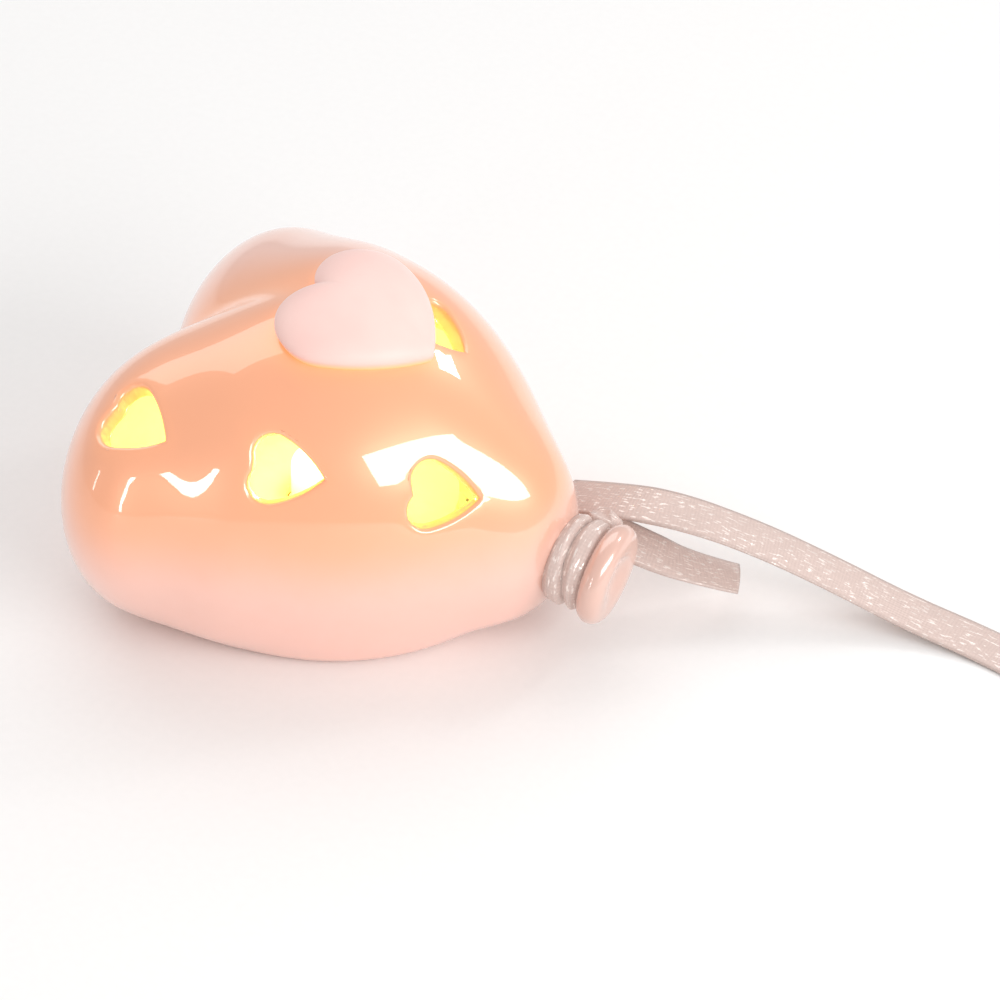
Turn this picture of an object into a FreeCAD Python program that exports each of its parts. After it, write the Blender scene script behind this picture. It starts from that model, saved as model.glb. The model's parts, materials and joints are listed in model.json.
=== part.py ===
import FreeCAD, Part
import math
import os

from FreeCAD import Vector

# Heart balloon lamp: a hollow porcelain heart, shaped like a tied balloon, that lies on a flat foot.
# Small hearts are pierced through its wall, a puffed heart is laid on its top, a satin ribbon is tied
# round its neck, and a small battery light is pushed into the round hole in its foot.
#
# Frame: +X points to the tied neck, +Z is up, z = 0 is the surface that the foot stands on, and the
# origin is under the middle of the porcelain. All sizes are in millimetres.

# ---- porcelain ----
BODY_LENGTH = 56.1  # from the back of the lobes to the root of the neck
BODY_WIDTH = 57.6
BODY_HEIGHT = 38.9
WALL = 2.4
FLOOR = 2.6  # thickness of the foot round the base hole
FOOT_RING = 2.3  # width of the flat ring round the base hole
LIGHT_X = -5.0  # centre of the base hole

PIERCED_WIDTH = 8.0
PIERCED_LENGTH = 8.4
RAISED_WIDTH = 20.0
RAISED_LENGTH = 17.2
RAISED_HEIGHT = 2.8
RAISED_TURN = -3.0  # degrees about +Z
RAISED_X, RAISED_Y = -0.6, -1.7  # its middle, from the origin

NECK_DROOP = 8.0  # degrees below the horizontal
NECK_RADIUS = 4.2
NECK_REACH = 6.9  # from the root of the neck to the face of the lip, along X
LIP_RADIUS = 6.1
LIP_THICKNESS = 3.1
LIP_DIMPLE = 2.6

# ---- ribbon ----
RIBBON_WIDTH = 6.0
RIBBON_THICKNESS = 0.5  # of the plain strip that stands for the satin
WRAP_THICKNESS = 1.1
WRAP_WIDTH = 3.0
KNOT_RADIUS = 2.3
KNOT_HEIGHT = 2.6

# The loose ribbon leaves the knot, comes down to the surface and runs on along it. The two routes
# are drawn for a lip whose face is at ROUTE_LIP, and move along X with the lip.
ROUTE_LIP = 31.5
TAIL_ROUTE = [
    (26.9, 9.0, 12.6),
    (33.8, 13.0, 12.4),
    (42.0, 15.9, 9.3),
    (50.5, 18.2, 5.2),
    (59.0, 19.6, 1.9),
    (67.5, 19.9, 0.45),
    (75.5, 18.3, 0.3),
    (83.0, 14.9, 0.3),
    (89.0, 9.6, 0.3),
    (93.0, 2.8, 0.3),
    (94.6, -4.8, 0.3),
]
SHORT_ROUTE = [
    (26.2, 8.7, 10.3),
    (30.9, 10.9, 9.6),
    (35.6, 12.9, 7.6),
    (40.4, 14.6, 4.6),
]

# ---- battery light ----
RECESS = 1.2  # from the surface up to the light's underside
CELL_RADIUS = 8.0
CELL_THICKNESS = 3.2
SWITCH_WIDTH = 4.2
SWITCH_LENGTH = 8.6
SWITCH_HEIGHT = 3.6
SWITCH_TRAVEL = 2.0
LAMP_RADIUS = 2.5
LAMP_HEIGHT = 8.6
LAMP_FLANGE = 1.0
LAMP_X, LAMP_Y = -2.4, -2.5  # from the light's own centre
UNIT_WALL = 1.3
RIB = 1.4  # plastic between the door and the switch
SWITCH_EDGE = 2.2  # plastic outside the switch
DOOR_THICKNESS = 1.4
LUG_REACH = 0.9
LUG_THICKNESS = 0.6
LUG_WIDTH = 4.0
DOOR_TURN = 30.0  # degrees from locked to free
ROOF = 0.8
BOARD_THICKNESS = 0.8
BOSS_RADIUS = 1.8  # round each lid screw
SCREW_RADIUS = 0.7
SCREW_CLEARANCE = 0.9
SCREW_HEAD_RADIUS = 1.5
SCREW_HEAD_HEIGHT = 0.9
SCREW_GRIP = 4.6  # from the board's underside to the screw's point
LEAD_RADIUS = 0.25
LEAD_SPACING = 2.54
PIN_HOLE = 0.45
SPRING_METAL = 0.25
CLIP_WIDTH = 3.0
LEAF_WIDTH = 2.8
CASE_FLOOR = 0.4  # of the switch
KNOB_WIDTH, KNOB_LENGTH = 1.8, 2.4
PLATE_WIDTH, PLATE_LENGTH, PLATE_THICKNESS = 3.0, 4.4, 1.2
KNOB_TIP = 0.4  # from the surface up to the slider's knob
COIN_SLOT_RADIUS = 11.5
COIN_SLOT_WIDTH = 1.7
COIN_SLOT_DEPTH = 1.0
CELL_CAP_INSET = 1.2
CELL_CAP_HEIGHT = 0.5
LID_THICKNESS = 1.0
GASKET = 0.7
GAP = 0.3  # between pieces that move past each other
RUN = 0.15  # radial play of the door in its seat
FIT = 0.1  # between fixed pieces that slide together

# ---- what follows from them ----
BACK = -(BODY_LENGTH + NECK_REACH) / 2
DOOR_RADIUS = CELL_RADIUS + 1.2
SEAT_RADIUS = DOOR_RADIUS + RUN
HOUSING_RADIUS = (UNIT_WALL + 2 * SEAT_RADIUS + RIB + SWITCH_WIDTH + SWITCH_EDGE) / 2
HOLE_RADIUS = HOUSING_RADIUS + GASKET
FOOT_RADIUS = HOLE_RADIUS + FOOT_RING
CELL_X = LIGHT_X - HOUSING_RADIUS + UNIT_WALL + SEAT_RADIUS
SWITCH_X = LIGHT_X + HOUSING_RADIUS - SWITCH_EDGE - SWITCH_WIDTH / 2
DOOR_TOP = RECESS + DOOR_THICKNESS
CELL_Z = DOOR_TOP + GAP
POCKET_TOP = CELL_Z + CELL_THICKNESS + 0.8
ROOF_TOP = POCKET_TOP + ROOF
BOARD_Z = ROOF_TOP + 0.6
BOARD_TOP = BOARD_Z + BOARD_THICKNESS
LID_Z = BOARD_TOP + 0.9
LID_TOP = LID_Z + LID_THICKNESS
SWITCH_Z = RECESS + 0.8
BORE_RADIUS = HOUSING_RADIUS - UNIT_WALL
LAMP_AT = (LIGHT_X + LAMP_X, LAMP_Y)
SCREW_AT = [(CELL_X + 6.6, side * (CELL_RADIUS + 2.0)) for side in (-1, 1)]

COLUMNS = 64  # poles of a skin round the heart
ROWS = 28  # and from its top to its bottom


# ---- the heart's form ----
# The form is drawn once, 56.1 long from the back (u), 57.6 wide (v) and 38.9 high (w), and is
# stretched to the body's sizes. It is a soft union of two tapering lobes, two round backs and a
# full middle, with a rounded underside.
FORM = (56.1, 57.6, 38.9)
LOBE = (17.8, 12.0, 14.7)
LOBE_RADIUS = 13.0
TIP = (47.6, 0.0, 12.5)
TIP_RADIUS = 6.8
TALLNESS = 1.21  # the lobes' height over their width
BACK_LOBE = (10.75, 14.5, 15.8)
BACK_AXES = (10.3, 14.0, 15.0)
MIDDLE = (28.4, 0.0, 16.7)
MIDDLE_AXES = (14.9, 16.0, 20.0)
UNDERSIDE = -3.3
VALLEY_SOFTNESS = 2.0
BACK_SOFTNESS = 3.3
MIDDLE_SOFTNESS = 22.3
UNDERSIDE_SOFTNESS = 7.9
FOOT_SOFTNESS = 6.0
STRETCH = (BODY_LENGTH / FORM[0], BODY_WIDTH / FORM[1], BODY_HEIGHT / FORM[2])


def soft_min(a, b, softness):
    h = max(softness - abs(a - b), 0.0) / softness
    return min(a, b) - h * h * softness / 4


def ellipsoid(p, centre, axes):
    q = [(p[i] - centre[i]) / axes[i] for i in range(3)]
    reach = math.hypot(*q)
    slope = math.hypot(*[q[i] / axes[i] for i in range(3)])
    return reach * (reach - 1) / max(slope, 1e-9)


def tapered(p, a, ra, b, rb):
    """Distance to the round cone from a ball at a to a smaller ball at b."""
    axis = [b[i] - a[i] for i in range(3)]
    arm = [p[i] - a[i] for i in range(3)]
    length2 = sum(c * c for c in axis)
    taper = ra - rb
    side2 = length2 - taper * taper
    along = sum(arm[i] * axis[i] for i in range(3))
    off2 = sum((arm[i] * length2 - along * axis[i]) ** 2 for i in range(3))
    past = along - length2
    limit = math.copysign(1, taper) * taper * taper * off2
    if math.copysign(1, past) * side2 * past * past * length2 > limit:
        return math.sqrt(off2 + past * past * length2) / length2 - rb
    if math.copysign(1, along) * side2 * along * along * length2 < limit:
        return math.sqrt(off2 + along * along * length2) / length2 - ra
    return (math.sqrt(off2 * side2 / length2) + along * taper) / length2 - ra


def form(x, y, z):
    """Below zero inside the porcelain heart."""
    u, v, w = (x - BACK) / STRETCH[0], abs(y) / STRETCH[1], z / STRETCH[2]
    near, far = (u, v, w), (u, -v, w)
    tall = (1, 1, 1 / TALLNESS)
    lobe = [LOBE[i] * tall[i] for i in range(3)]
    tip = [TIP[i] * tall[i] for i in range(3)]
    sides = []
    backs = []
    for point in (near, far):
        flat = [point[i] * tall[i] for i in range(3)]
        sides.append(tapered(flat, lobe, LOBE_RADIUS, tip, TIP_RADIUS))
        backs.append(ellipsoid(point, BACK_LOBE, BACK_AXES))
    body = soft_min(sides[0], sides[1], VALLEY_SOFTNESS)
    body = soft_min(body, soft_min(backs[0], backs[1], VALLEY_SOFTNESS), BACK_SOFTNESS)
    body = soft_min(body, ellipsoid(near, MIDDLE, MIDDLE_AXES), MIDDLE_SOFTNESS)
    body = -soft_min(-body, w - UNDERSIDE, UNDERSIDE_SOFTNESS)
    foot = max(math.hypot(x - LIGHT_X, y) - FOOT_RADIUS, abs(z - 2.0) - 4.0)
    return soft_min(body, foot, FOOT_SOFTNESS)


HEART_CENTRE = (BACK + 26.0 * STRETCH[0], 0.0, 14.0 * STRETCH[2])


def on_heart(direction):
    """Where a ray from the heart's centre leaves it."""
    near, far = 0.0, 3 * max(BODY_LENGTH, BODY_WIDTH, BODY_HEIGHT)
    while far - near > 1e-5:
        middle = (near + far) / 2
        point = [HEART_CENTRE[i] + direction[i] * middle for i in range(3)]
        if form(*point) < 0:
            near = middle
        else:
            far = middle
    return Vector(*[HEART_CENTRE[i] + direction[i] * near for i in range(3)])


def outward(point):
    step = 0.05
    slope = []
    for i in range(3):
        ahead = [point[k] + (step if k == i else 0) for k in range(3)]
        behind = [point[k] - (step if k == i else 0) for k in range(3)]
        slope.append(form(*ahead) - form(*behind))
    return Vector(*slope).normalize()


def bearing(azimuth, height):
    """Unit direction: azimuth from +X towards +Y, and height above the level, in degrees."""
    a, h = math.radians(azimuth), math.radians(height)
    return (math.cos(h) * math.cos(a), math.cos(h) * math.sin(a), math.sin(h))


def skin_points():
    """Points and outward directions over the heart, row by row from the top."""
    rows = []
    for row in range(ROWS):
        height = 84 - 168 * row / (ROWS - 1)
        points = [on_heart(bearing(360 * col / COLUMNS, height)) for col in range(COLUMNS)]
        rows.append([(p, outward(p)) for p in points])
    return rows


SKIN = skin_points()


def proud(points, row, col):
    """The pole that brings a cubic surface through a point, from the points beside it."""
    here = points[row][col]
    beside = points[row][col - 1] + points[row][(col + 1) % COLUMNS]
    pole = here + (here * 2 - beside) / 6
    if 0 < row < ROWS - 1:
        pole += (here * 2 - points[row - 1][col] - points[row + 1][col]) / 6
    return pole


def skin_solid(offset):
    """The heart's solid with its surface moved outwards by offset."""
    points = [[p + n * offset for p, n in row] for row in SKIN]
    poles = [[proud(points, row, col) for col in range(COLUMNS)] for row in range(ROWS)]
    for row in (0, -1):
        level = sum(p.z for p in poles[row]) / COLUMNS
        for p in poles[row]:
            p.z = level
    across = [[poles[row][col] for row in range(ROWS)] for col in range(COLUMNS)]
    surface = Part.BSplineSurface()
    surface.buildFromPolesMultsKnots(
        across,
        [1] * (COLUMNS + 1),
        [4] + [1] * (ROWS - 4) + [4],
        list(range(COLUMNS + 1)),
        list(range(ROWS - 2)),
        True,
        False,
        3,
        3,
    )
    skin = surface.toShape()
    ends = [e for e in skin.Edges if e.isClosed()]
    caps = [Part.Face(Part.Wire([e])) for e in ends]
    closed = Part.Compound([skin] + caps)
    closed.sewShape()
    return Part.Solid(Part.Shell(closed.Faces))


# ---- plain shapes ----
def cylinder(radius, low, high, x=0.0, y=0.0):
    return Part.makeCylinder(radius, high - low, Vector(x, y, low))


def ring(outer, inner, low, high, x=0.0, y=0.0):
    return cylinder(outer, low, high, x, y).cut(cylinder(inner, low - 1, high + 1, x, y))


def block(centre_x, centre_y, size_x, size_y, low, high):
    corner = Vector(centre_x - size_x / 2, centre_y - size_y / 2, low)
    return Part.makeBox(size_x, size_y, high - low, corner)


def profile(points, depth, y=0.0):
    """A flat outline in X and Z, given its depth along Y about y."""
    outline = [Vector(px, y - depth / 2, pz) for px, pz in points]
    face = Part.Face(Part.makePolygon(outline + outline[:1]))
    return face.extrude(Vector(0, depth, 0))


def turned(points, base, axis):
    """A solid turned about the axis from base: points are (distance along it, radius)."""
    side = Vector(0, 1, 0)
    outline = [base + axis * s + side * r for s, r in points]
    face = Part.Face(Part.makePolygon(outline + outline[:1]))
    return face.revolve(base, axis, 360)


def heart_wire(width, length):
    """A heart in the XY plane, about its middle, tip towards +X, of six tangent arcs."""
    lobe = 0.28 * width
    lobe_y = width / 2 - lobe
    lobe_x = lobe - length / 2
    tip = Vector(length / 2, 0, 0)
    cleft = Vector(lobe_x - math.sqrt(lobe**2 - lobe_y**2), 0, 0)
    lean = math.radians(20)
    edges = []
    for side in (1, -1):
        centre = Vector(lobe_x, side * lobe_y, 0)
        top = centre + Vector(-lobe * math.sin(math.pi / 4), side * lobe * math.cos(math.pi / 4), 0)
        join = centre + Vector(lobe * math.sin(lean), side * lobe * math.cos(lean), 0)
        inwards = Vector(-math.sin(lean), -side * math.cos(lean), 0)
        chord = tip - join
        radius = chord.Length**2 / (2 * chord.dot(inwards))
        hub = join + inwards * radius
        halfway = hub + ((join + tip) / 2 - hub).normalize() * radius
        edges.append(Part.Arc(cleft, top, join).toShape())
        edges.append(Part.Arc(join, halfway, tip).toShape())
    return Part.Wire(Part.__sortEdges__(edges))


def heart_prism(width, length, low, high):
    wire = heart_wire(width, length)
    wire.translate(Vector(0, 0, low))
    return Part.Face(wire).extrude(Vector(0, 0, high - low))


def placed(shape, at, up, towards):
    """Moves a shape from the origin to at, with its +Z along up and its +X near towards."""
    x_axis = (towards - up * towards.dot(up)).normalize()
    y_axis = up.cross(x_axis)
    shape.Placement = FreeCAD.Placement(at, FreeCAD.Rotation(x_axis, y_axis, up, "ZXY"))
    return shape


# ---- porcelain pieces ----
# Each pierced heart: azimuth and height of its middle from the heart's centre, and how far its tip
# is turned from the neck. There are three on either side and a smaller one on the top.
NEAR_PIERCED = [
    (-123.5, 32.0, -14.0),
    (-78.0, 35.0, 4.0),
    (-29.5, 24.5, 10.0),
]
FAR_PIERCED = [
    (123.5, 22.0, 14.0),
    (78.0, 29.0, -4.0),
    (43.0, 13.0, -10.0),
]
TOP_PIERCED = (16.5, 60.0, 0.0)
TOP_SCALE = 0.88
TOWARDS_NECK = Vector(1, 0, 0)


def pierced_hearts():
    cutters = []
    places = [place + (1.0,) for place in NEAR_PIERCED + FAR_PIERCED]
    places.append(TOP_PIERCED + (TOP_SCALE,))
    for azimuth, height, turn, scale in places:
        at = on_heart(bearing(azimuth, height))
        normal = outward(at)
        reach = WALL + 2.5
        cutter = heart_prism(PIERCED_WIDTH * scale, PIERCED_LENGTH * scale, -reach, reach)
        cutter.rotate(Vector(0, 0, 0), Vector(0, 0, 1), turn)
        cutters.append(placed(cutter.copy(), at, normal, TOWARDS_NECK))
    return cutters


NECK_BASE = Vector(BACK + TIP[0] * STRETCH[0], 0, TIP[2] * STRETCH[2])
NECK_AXIS = Vector(math.cos(math.radians(NECK_DROOP)), 0, -math.sin(math.radians(NECK_DROOP)))
LIP_ROUND = LIP_THICKNESS / 2
LIP_FLAT = LIP_RADIUS - LIP_ROUND
LIP_FACE = BACK + BODY_LENGTH + NECK_REACH
LIP_CENTRE = (LIP_FACE - LIP_ROUND + LIP_FLAT * NECK_AXIS.z - NECK_BASE.x) / NECK_AXIS.x
LIP_FRONT = LIP_CENTRE + LIP_ROUND
DIMPLE_DEPTH = 0.8
LIP_START = LIP_CENTRE - LIP_ROUND
WRAP_START = LIP_START - WRAP_WIDTH


def neck_and_lip():
    outline = [(0, 0), (0, NECK_RADIUS), (LIP_CENTRE, NECK_RADIUS), (LIP_CENTRE, 0)]
    neck = turned(outline, NECK_BASE, NECK_AXIS)
    outline = [(LIP_START, 0), (LIP_START, LIP_FLAT)]
    for degrees in range(15, 180, 15):
        a = math.radians(degrees)
        along = LIP_CENTRE - LIP_ROUND * math.cos(a)
        outline.append((along, LIP_FLAT + LIP_ROUND * math.sin(a)))
    outline.append((LIP_FRONT, LIP_FLAT))
    outline.append((LIP_FRONT, LIP_DIMPLE))
    outline.append((LIP_FRONT - DIMPLE_DEPTH, LIP_DIMPLE - 1.5 * DIMPLE_DEPTH))
    outline.append((LIP_FRONT - DIMPLE_DEPTH, 0))
    return neck.fuse(turned(outline, NECK_BASE, NECK_AXIS))


OUTER = skin_solid(0.0)
BELOW = Part.makeBox(300, 300, 100, Vector(-150, -150, -100))


def balloon_shell():
    inner = skin_solid(-WALL)
    below_floor = BELOW.copy()
    below_floor.translate(Vector(0, 0, FLOOR))
    inner = inner.cut(below_floor)
    shell = OUTER.cut(BELOW).fuse(neck_and_lip()).cut(inner)
    shell = shell.cut(cylinder(HOLE_RADIUS, -1, FLOOR + 1, LIGHT_X))
    for cutter in pierced_hearts():
        shell = shell.cut(cutter)
    return shell


def raised_heart():
    prism = heart_prism(RAISED_WIDTH, RAISED_LENGTH, BODY_HEIGHT / 2, BODY_HEIGHT + 2 * RAISED_HEIGHT)
    prism.rotate(Vector(0, 0, 0), Vector(0, 0, 1), RAISED_TURN)
    prism.translate(Vector(RAISED_X, RAISED_Y, 0))
    return prism.common(skin_solid(RAISED_HEIGHT)).cut(OUTER)


# ---- ribbon pieces ----
def ribbon_neck_wrap():
    outer = NECK_RADIUS + WRAP_THICKNESS
    half = WRAP_WIDTH / 2
    points = [(WRAP_START, NECK_RADIUS)]
    for turn in (0, 1):
        start = WRAP_START + turn * half
        points += [
            (start + 0.05 * half, outer - 0.35 * WRAP_THICKNESS),
            (start + 0.3 * half, outer),
            (start + 0.7 * half, outer),
            (start + 0.95 * half, outer - 0.35 * WRAP_THICKNESS),
        ]
    points.append((WRAP_START + WRAP_WIDTH, NECK_RADIUS))
    return turned(points, NECK_BASE, NECK_AXIS).cut(OUTER)


def ribbon_knot():
    middle = NECK_BASE + NECK_AXIS * (WRAP_START + WRAP_WIDTH / 2)
    out = Vector(0, math.cos(math.radians(14)), math.sin(math.radians(14)))
    base = middle + out * (NECK_RADIUS + 0.6)
    knot = Part.makeCylinder(KNOT_RADIUS, KNOT_HEIGHT, base, out)
    knot = knot.makeFillet(0.6, [knot.Edges[0]])
    return knot.cut(OUTER).cut(ribbon_neck_wrap()).cut(neck_and_lip())


def route_path(points):
    """Straight runs joined by tangent arcs; returns the wire, its length and its radii."""
    route = [Vector(*p) for p in points]
    edges, radii, start = [], [], route[0]
    for before, corner, after in zip(route, route[1:], route[2:]):
        back = before - corner
        ahead = after - corner
        turn = math.pi - back.getAngle(ahead)
        shorter = min(back.Length, ahead.Length)
        cut = 0.45 * shorter
        radii.append(cut / math.tan(turn / 2))
        back.normalize()
        ahead.normalize()
        arrive, leave = corner + back * cut, corner + ahead * cut
        inwards = (back + ahead).normalize()
        sag = radii[-1] * (1 / math.cos(turn / 2) - 1)
        edges.append(Part.LineSegment(start, arrive).toShape())
        edges.append(Part.Arc(arrive, corner + inwards * sag, leave).toShape())
        start = leave
    edges.append(Part.LineSegment(start, route[-1]).toShape())
    wire = Part.Wire(edges)
    return wire, wire.Length, radii


def strip(name, route, width):
    points = [(x + LIP_FACE - ROUTE_LIP, y, z) for x, y, z in route]
    wire, length, radii = route_path(points)
    first = (Vector(*points[1]) - Vector(*points[0])).normalize()
    across = Vector(0, 0, 1).cross(first).normalize() * (width / 2)
    up = first.cross(across).normalize() * (RIBBON_THICKNESS / 2)
    start = Vector(*points[0])
    corners = [start + across + up, start - across + up, start - across - up, start + across - up]
    section = Part.makePolygon(corners + corners[:1])
    pipe = Part.BRepOffsetAPI.MakePipeShell(wire)
    pipe.setBiNormalMode(Vector(0, 0, 1))
    pipe.add(section)
    pipe.build()
    pipe.makeSolid()
    solid = pipe.shape()
    expected = width * RIBBON_THICKNESS * length
    print(name, "length", round(length, 1), "radii", [round(r, 1) for r in radii])
    print(name, "volume", round(solid.Volume, 1), "section x length", round(expected, 1))
    return solid


def ribbon_long_tail():
    return strip("ribbon_long_tail", TAIL_ROUTE, RIBBON_WIDTH).cut(ribbon_knot())


def ribbon_short_tail():
    return strip("ribbon_short_tail", SHORT_ROUTE, RIBBON_WIDTH).cut(ribbon_knot())


# ---- battery light pieces ----
def lug(angle, low, high, extra=0.0):
    """A tab of the door, or with extra the room it needs."""
    reach = DOOR_RADIUS + LUG_REACH + extra
    tab = Part.makeBox(reach, LUG_WIDTH + 2 * extra, high - low, Vector(0, -LUG_WIDTH / 2 - extra, low))
    tab = tab.common(cylinder(reach, low, high))
    tab.rotate(Vector(0, 0, 0), Vector(0, 0, 1), angle)
    tab.translate(Vector(CELL_X, 0, 0))
    return tab


LOCKED = (90.0, -90.0)


def led_housing():
    body = cylinder(HOUSING_RADIUS, RECESS, LID_Z, LIGHT_X)
    body = body.cut(cylinder(BORE_RADIUS, ROOF_TOP, LID_Z + 1, LIGHT_X))
    body = body.cut(cylinder(SEAT_RADIUS, RECESS - 1, DOOR_TOP + GAP / 2, CELL_X))
    body = body.cut(cylinder(CELL_RADIUS + 0.2, DOOR_TOP, POCKET_TOP, CELL_X))
    lug_low, lug_high = DOOR_TOP - LUG_THICKNESS - GAP, DOOR_TOP + GAP
    for angle in LOCKED:
        for step in range(0, int(DOOR_TURN) + 1, 5):
            body = body.cut(lug(angle - step, lug_low, lug_high, GAP))
        body = body.cut(lug(angle - DOOR_TURN, RECESS - 1, lug_high, GAP))
    body = body.cut(block(SWITCH_X, 0, SWITCH_WIDTH, SWITCH_LENGTH, SWITCH_Z, ROOF_TOP + 1))
    window = KNOB_LENGTH + SWITCH_TRAVEL + 2 * GAP
    body = body.cut(block(SWITCH_X, 0, KNOB_LENGTH + 2 * GAP, window, RECESS - 1, SWITCH_Z + 1))
    clip_x = CELL_X + CELL_RADIUS
    body = body.cut(block(clip_x + 0.2, 0, 1.0, 4.0, DOOR_TOP, ROOF_TOP + 1))
    body = body.cut(block(CELL_X - 5.0, 0, 1.2, 4.0, POCKET_TOP - 1, ROOF_TOP + 1))
    for x, y in SCREW_AT:
        body = body.fuse(cylinder(BOSS_RADIUS, ROOF_TOP - 0.1, BOARD_Z, x, y))
        body = body.cut(cylinder(SCREW_RADIUS, BOARD_Z - SCREW_GRIP - 0.4, BOARD_Z + 1, x, y))
    return body


def housing_lid():
    lid = cylinder(HOUSING_RADIUS, LID_Z, LID_TOP, LIGHT_X)
    lid = lid.fuse(ring(BORE_RADIUS - FIT, BORE_RADIUS - 1.2, BOARD_TOP, LID_Z, LIGHT_X))
    lid = lid.cut(cylinder(LAMP_RADIUS + 0.6, LID_Z - 1, LID_TOP + 1, *LAMP_AT))
    for x, y in SCREW_AT:
        lid = lid.fuse(cylinder(BOSS_RADIUS, BOARD_TOP, LID_Z, x, y))
        lid = lid.cut(cylinder(SCREW_CLEARANCE, BOARD_TOP - 1, LID_TOP + 1, x, y))
    return lid


def lid_screws():
    screws = []
    head_top = LID_TOP + SCREW_HEAD_HEIGHT
    cross_low = head_top - SCREW_HEAD_HEIGHT / 2
    for x, y in SCREW_AT:
        shank = cylinder(SCREW_RADIUS, BOARD_Z - SCREW_GRIP, LID_TOP, x, y)
        head = cylinder(SCREW_HEAD_RADIUS, LID_TOP, head_top, x, y)
        screw = shank.fuse(head.makeFillet(0.35, [head.Edges[0]]))
        screw = screw.cut(block(x, y, 2.2, 0.4, cross_low, head_top + 1))
        screws.append(screw.cut(block(x, y, 0.4, 2.2, cross_low, head_top + 1)))
    return Part.Compound(screws)


def silicone_ring():
    band = ring(HOLE_RADIUS, HOUSING_RADIUS, RECESS - 0.4, FLOOR, LIGHT_X)
    bead = ring(HOLE_RADIUS + 0.7, HOUSING_RADIUS, FLOOR, FLOOR + 1.2, LIGHT_X)
    return band.fuse(bead).removeSplitter()


def circuit_board():
    board = cylinder(BORE_RADIUS - 0.4, BOARD_Z, BOARD_TOP, LIGHT_X)
    for x, y in SCREW_AT:
        board = board.cut(cylinder(SCREW_CLEARANCE, BOARD_Z - 1, BOARD_TOP + 1, x, y))
    for x, y in lead_places() + [(SWITCH_X, y) for y in TERMINALS]:
        board = board.cut(cylinder(PIN_HOLE, BOARD_Z - 1, BOARD_TOP + 1, x, y))
    return board.cut(positive_contact()).cut(negative_contact())


def lead_places():
    x, y = LAMP_AT
    return [(x - LEAD_SPACING / 2, y), (x + LEAD_SPACING / 2, y)]


def led_lamp():
    x, y = LAMP_AT
    flange = cylinder(LAMP_RADIUS + 0.4, BOARD_TOP, BOARD_TOP + LAMP_FLANGE, x, y)
    flange = flange.cut(block(x + LAMP_RADIUS + 1.2, y, 2.0, 8.0, BOARD_TOP - 1, BOARD_TOP + 2))
    barrel = cylinder(LAMP_RADIUS, BOARD_TOP, BOARD_TOP + LAMP_HEIGHT - LAMP_RADIUS, x, y)
    dome = Part.makeSphere(LAMP_RADIUS, Vector(x, y, BOARD_TOP + LAMP_HEIGHT - LAMP_RADIUS))
    lamp = flange.fuse(barrel).fuse(dome)
    for lead in led_leads().values():
        lamp = lamp.cut(lead)
    return lamp


def led_leads():
    """Each lead is a wire with a plate on it inside the lamp: a narrow post and a wide cup."""
    x, y = LAMP_AT
    plate_low = BOARD_TOP + 3.0
    post = block(x - 1.2, y, 0.8, 1.0, plate_low, plate_low + 1.2)
    cup = block(x + 1.0, y, 2.0, 1.0, plate_low, plate_low + 1.6)
    leads = []
    for (lead_x, lead_y), plate in zip(lead_places(), (post, cup)):
        wire = cylinder(LEAD_RADIUS, BOARD_Z - 0.4, plate_low, lead_x, lead_y)
        leads.append(wire.fuse(plate))
    return {"anode_lead": leads[0], "cathode_lead": leads[1]}


TERMINALS = (-2.5, 0.0, 2.5)


def slide_switch_case():
    top = SWITCH_Z + SWITCH_HEIGHT
    case = block(SWITCH_X, 0, SWITCH_WIDTH, SWITCH_LENGTH, SWITCH_Z, top)
    room_width = PLATE_WIDTH + 2 * GAP
    room_length = PLATE_LENGTH + SWITCH_TRAVEL + 2 * GAP
    case = case.cut(block(SWITCH_X, 0, room_width, room_length, SWITCH_Z + CASE_FLOOR, top - 0.6))
    window_width = KNOB_WIDTH + 2 * GAP
    window_length = KNOB_LENGTH + SWITCH_TRAVEL + 2 * GAP
    case = case.cut(block(SWITCH_X, 0, window_width, window_length, SWITCH_Z - 1, SWITCH_Z + 1))
    for y in TERMINALS:
        case = case.cut(block(SWITCH_X, y, 0.5, 1.0, top - 1, top + 1))
    return case


def switch_terminals():
    top = SWITCH_Z + SWITCH_HEIGHT
    return Part.Compound([block(SWITCH_X, y, 0.4, 0.7, top - 0.6, BOARD_TOP + 0.3) for y in TERMINALS])


def switch_slider():
    rest = -SWITCH_TRAVEL / 2
    plate_low = SWITCH_Z + CASE_FLOOR + GAP
    plate_high = plate_low + PLATE_THICKNESS
    plate = block(SWITCH_X, rest, PLATE_WIDTH, PLATE_LENGTH, plate_low, plate_high)
    knob = block(SWITCH_X, rest, KNOB_WIDTH, KNOB_LENGTH, KNOB_TIP, plate_low)
    knob = knob.fuse(plate)
    for step in (-0.6, 0.0, 0.6):
        knob = knob.cut(block(SWITCH_X, rest + step, 2.4, 0.25, 0, 0.6))
    return knob


def coin_cell():
    top = CELL_Z + CELL_THICKNESS
    can = cylinder(CELL_RADIUS, CELL_Z, top - CELL_CAP_HEIGHT, CELL_X)
    can = can.makeFillet(0.4, [e for e in can.Edges if e.BoundBox.ZMax < CELL_Z + 0.01])
    cap = cylinder(CELL_RADIUS - CELL_CAP_INSET, top - CELL_CAP_HEIGHT, top, CELL_X)
    return can.fuse(cap)


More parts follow.
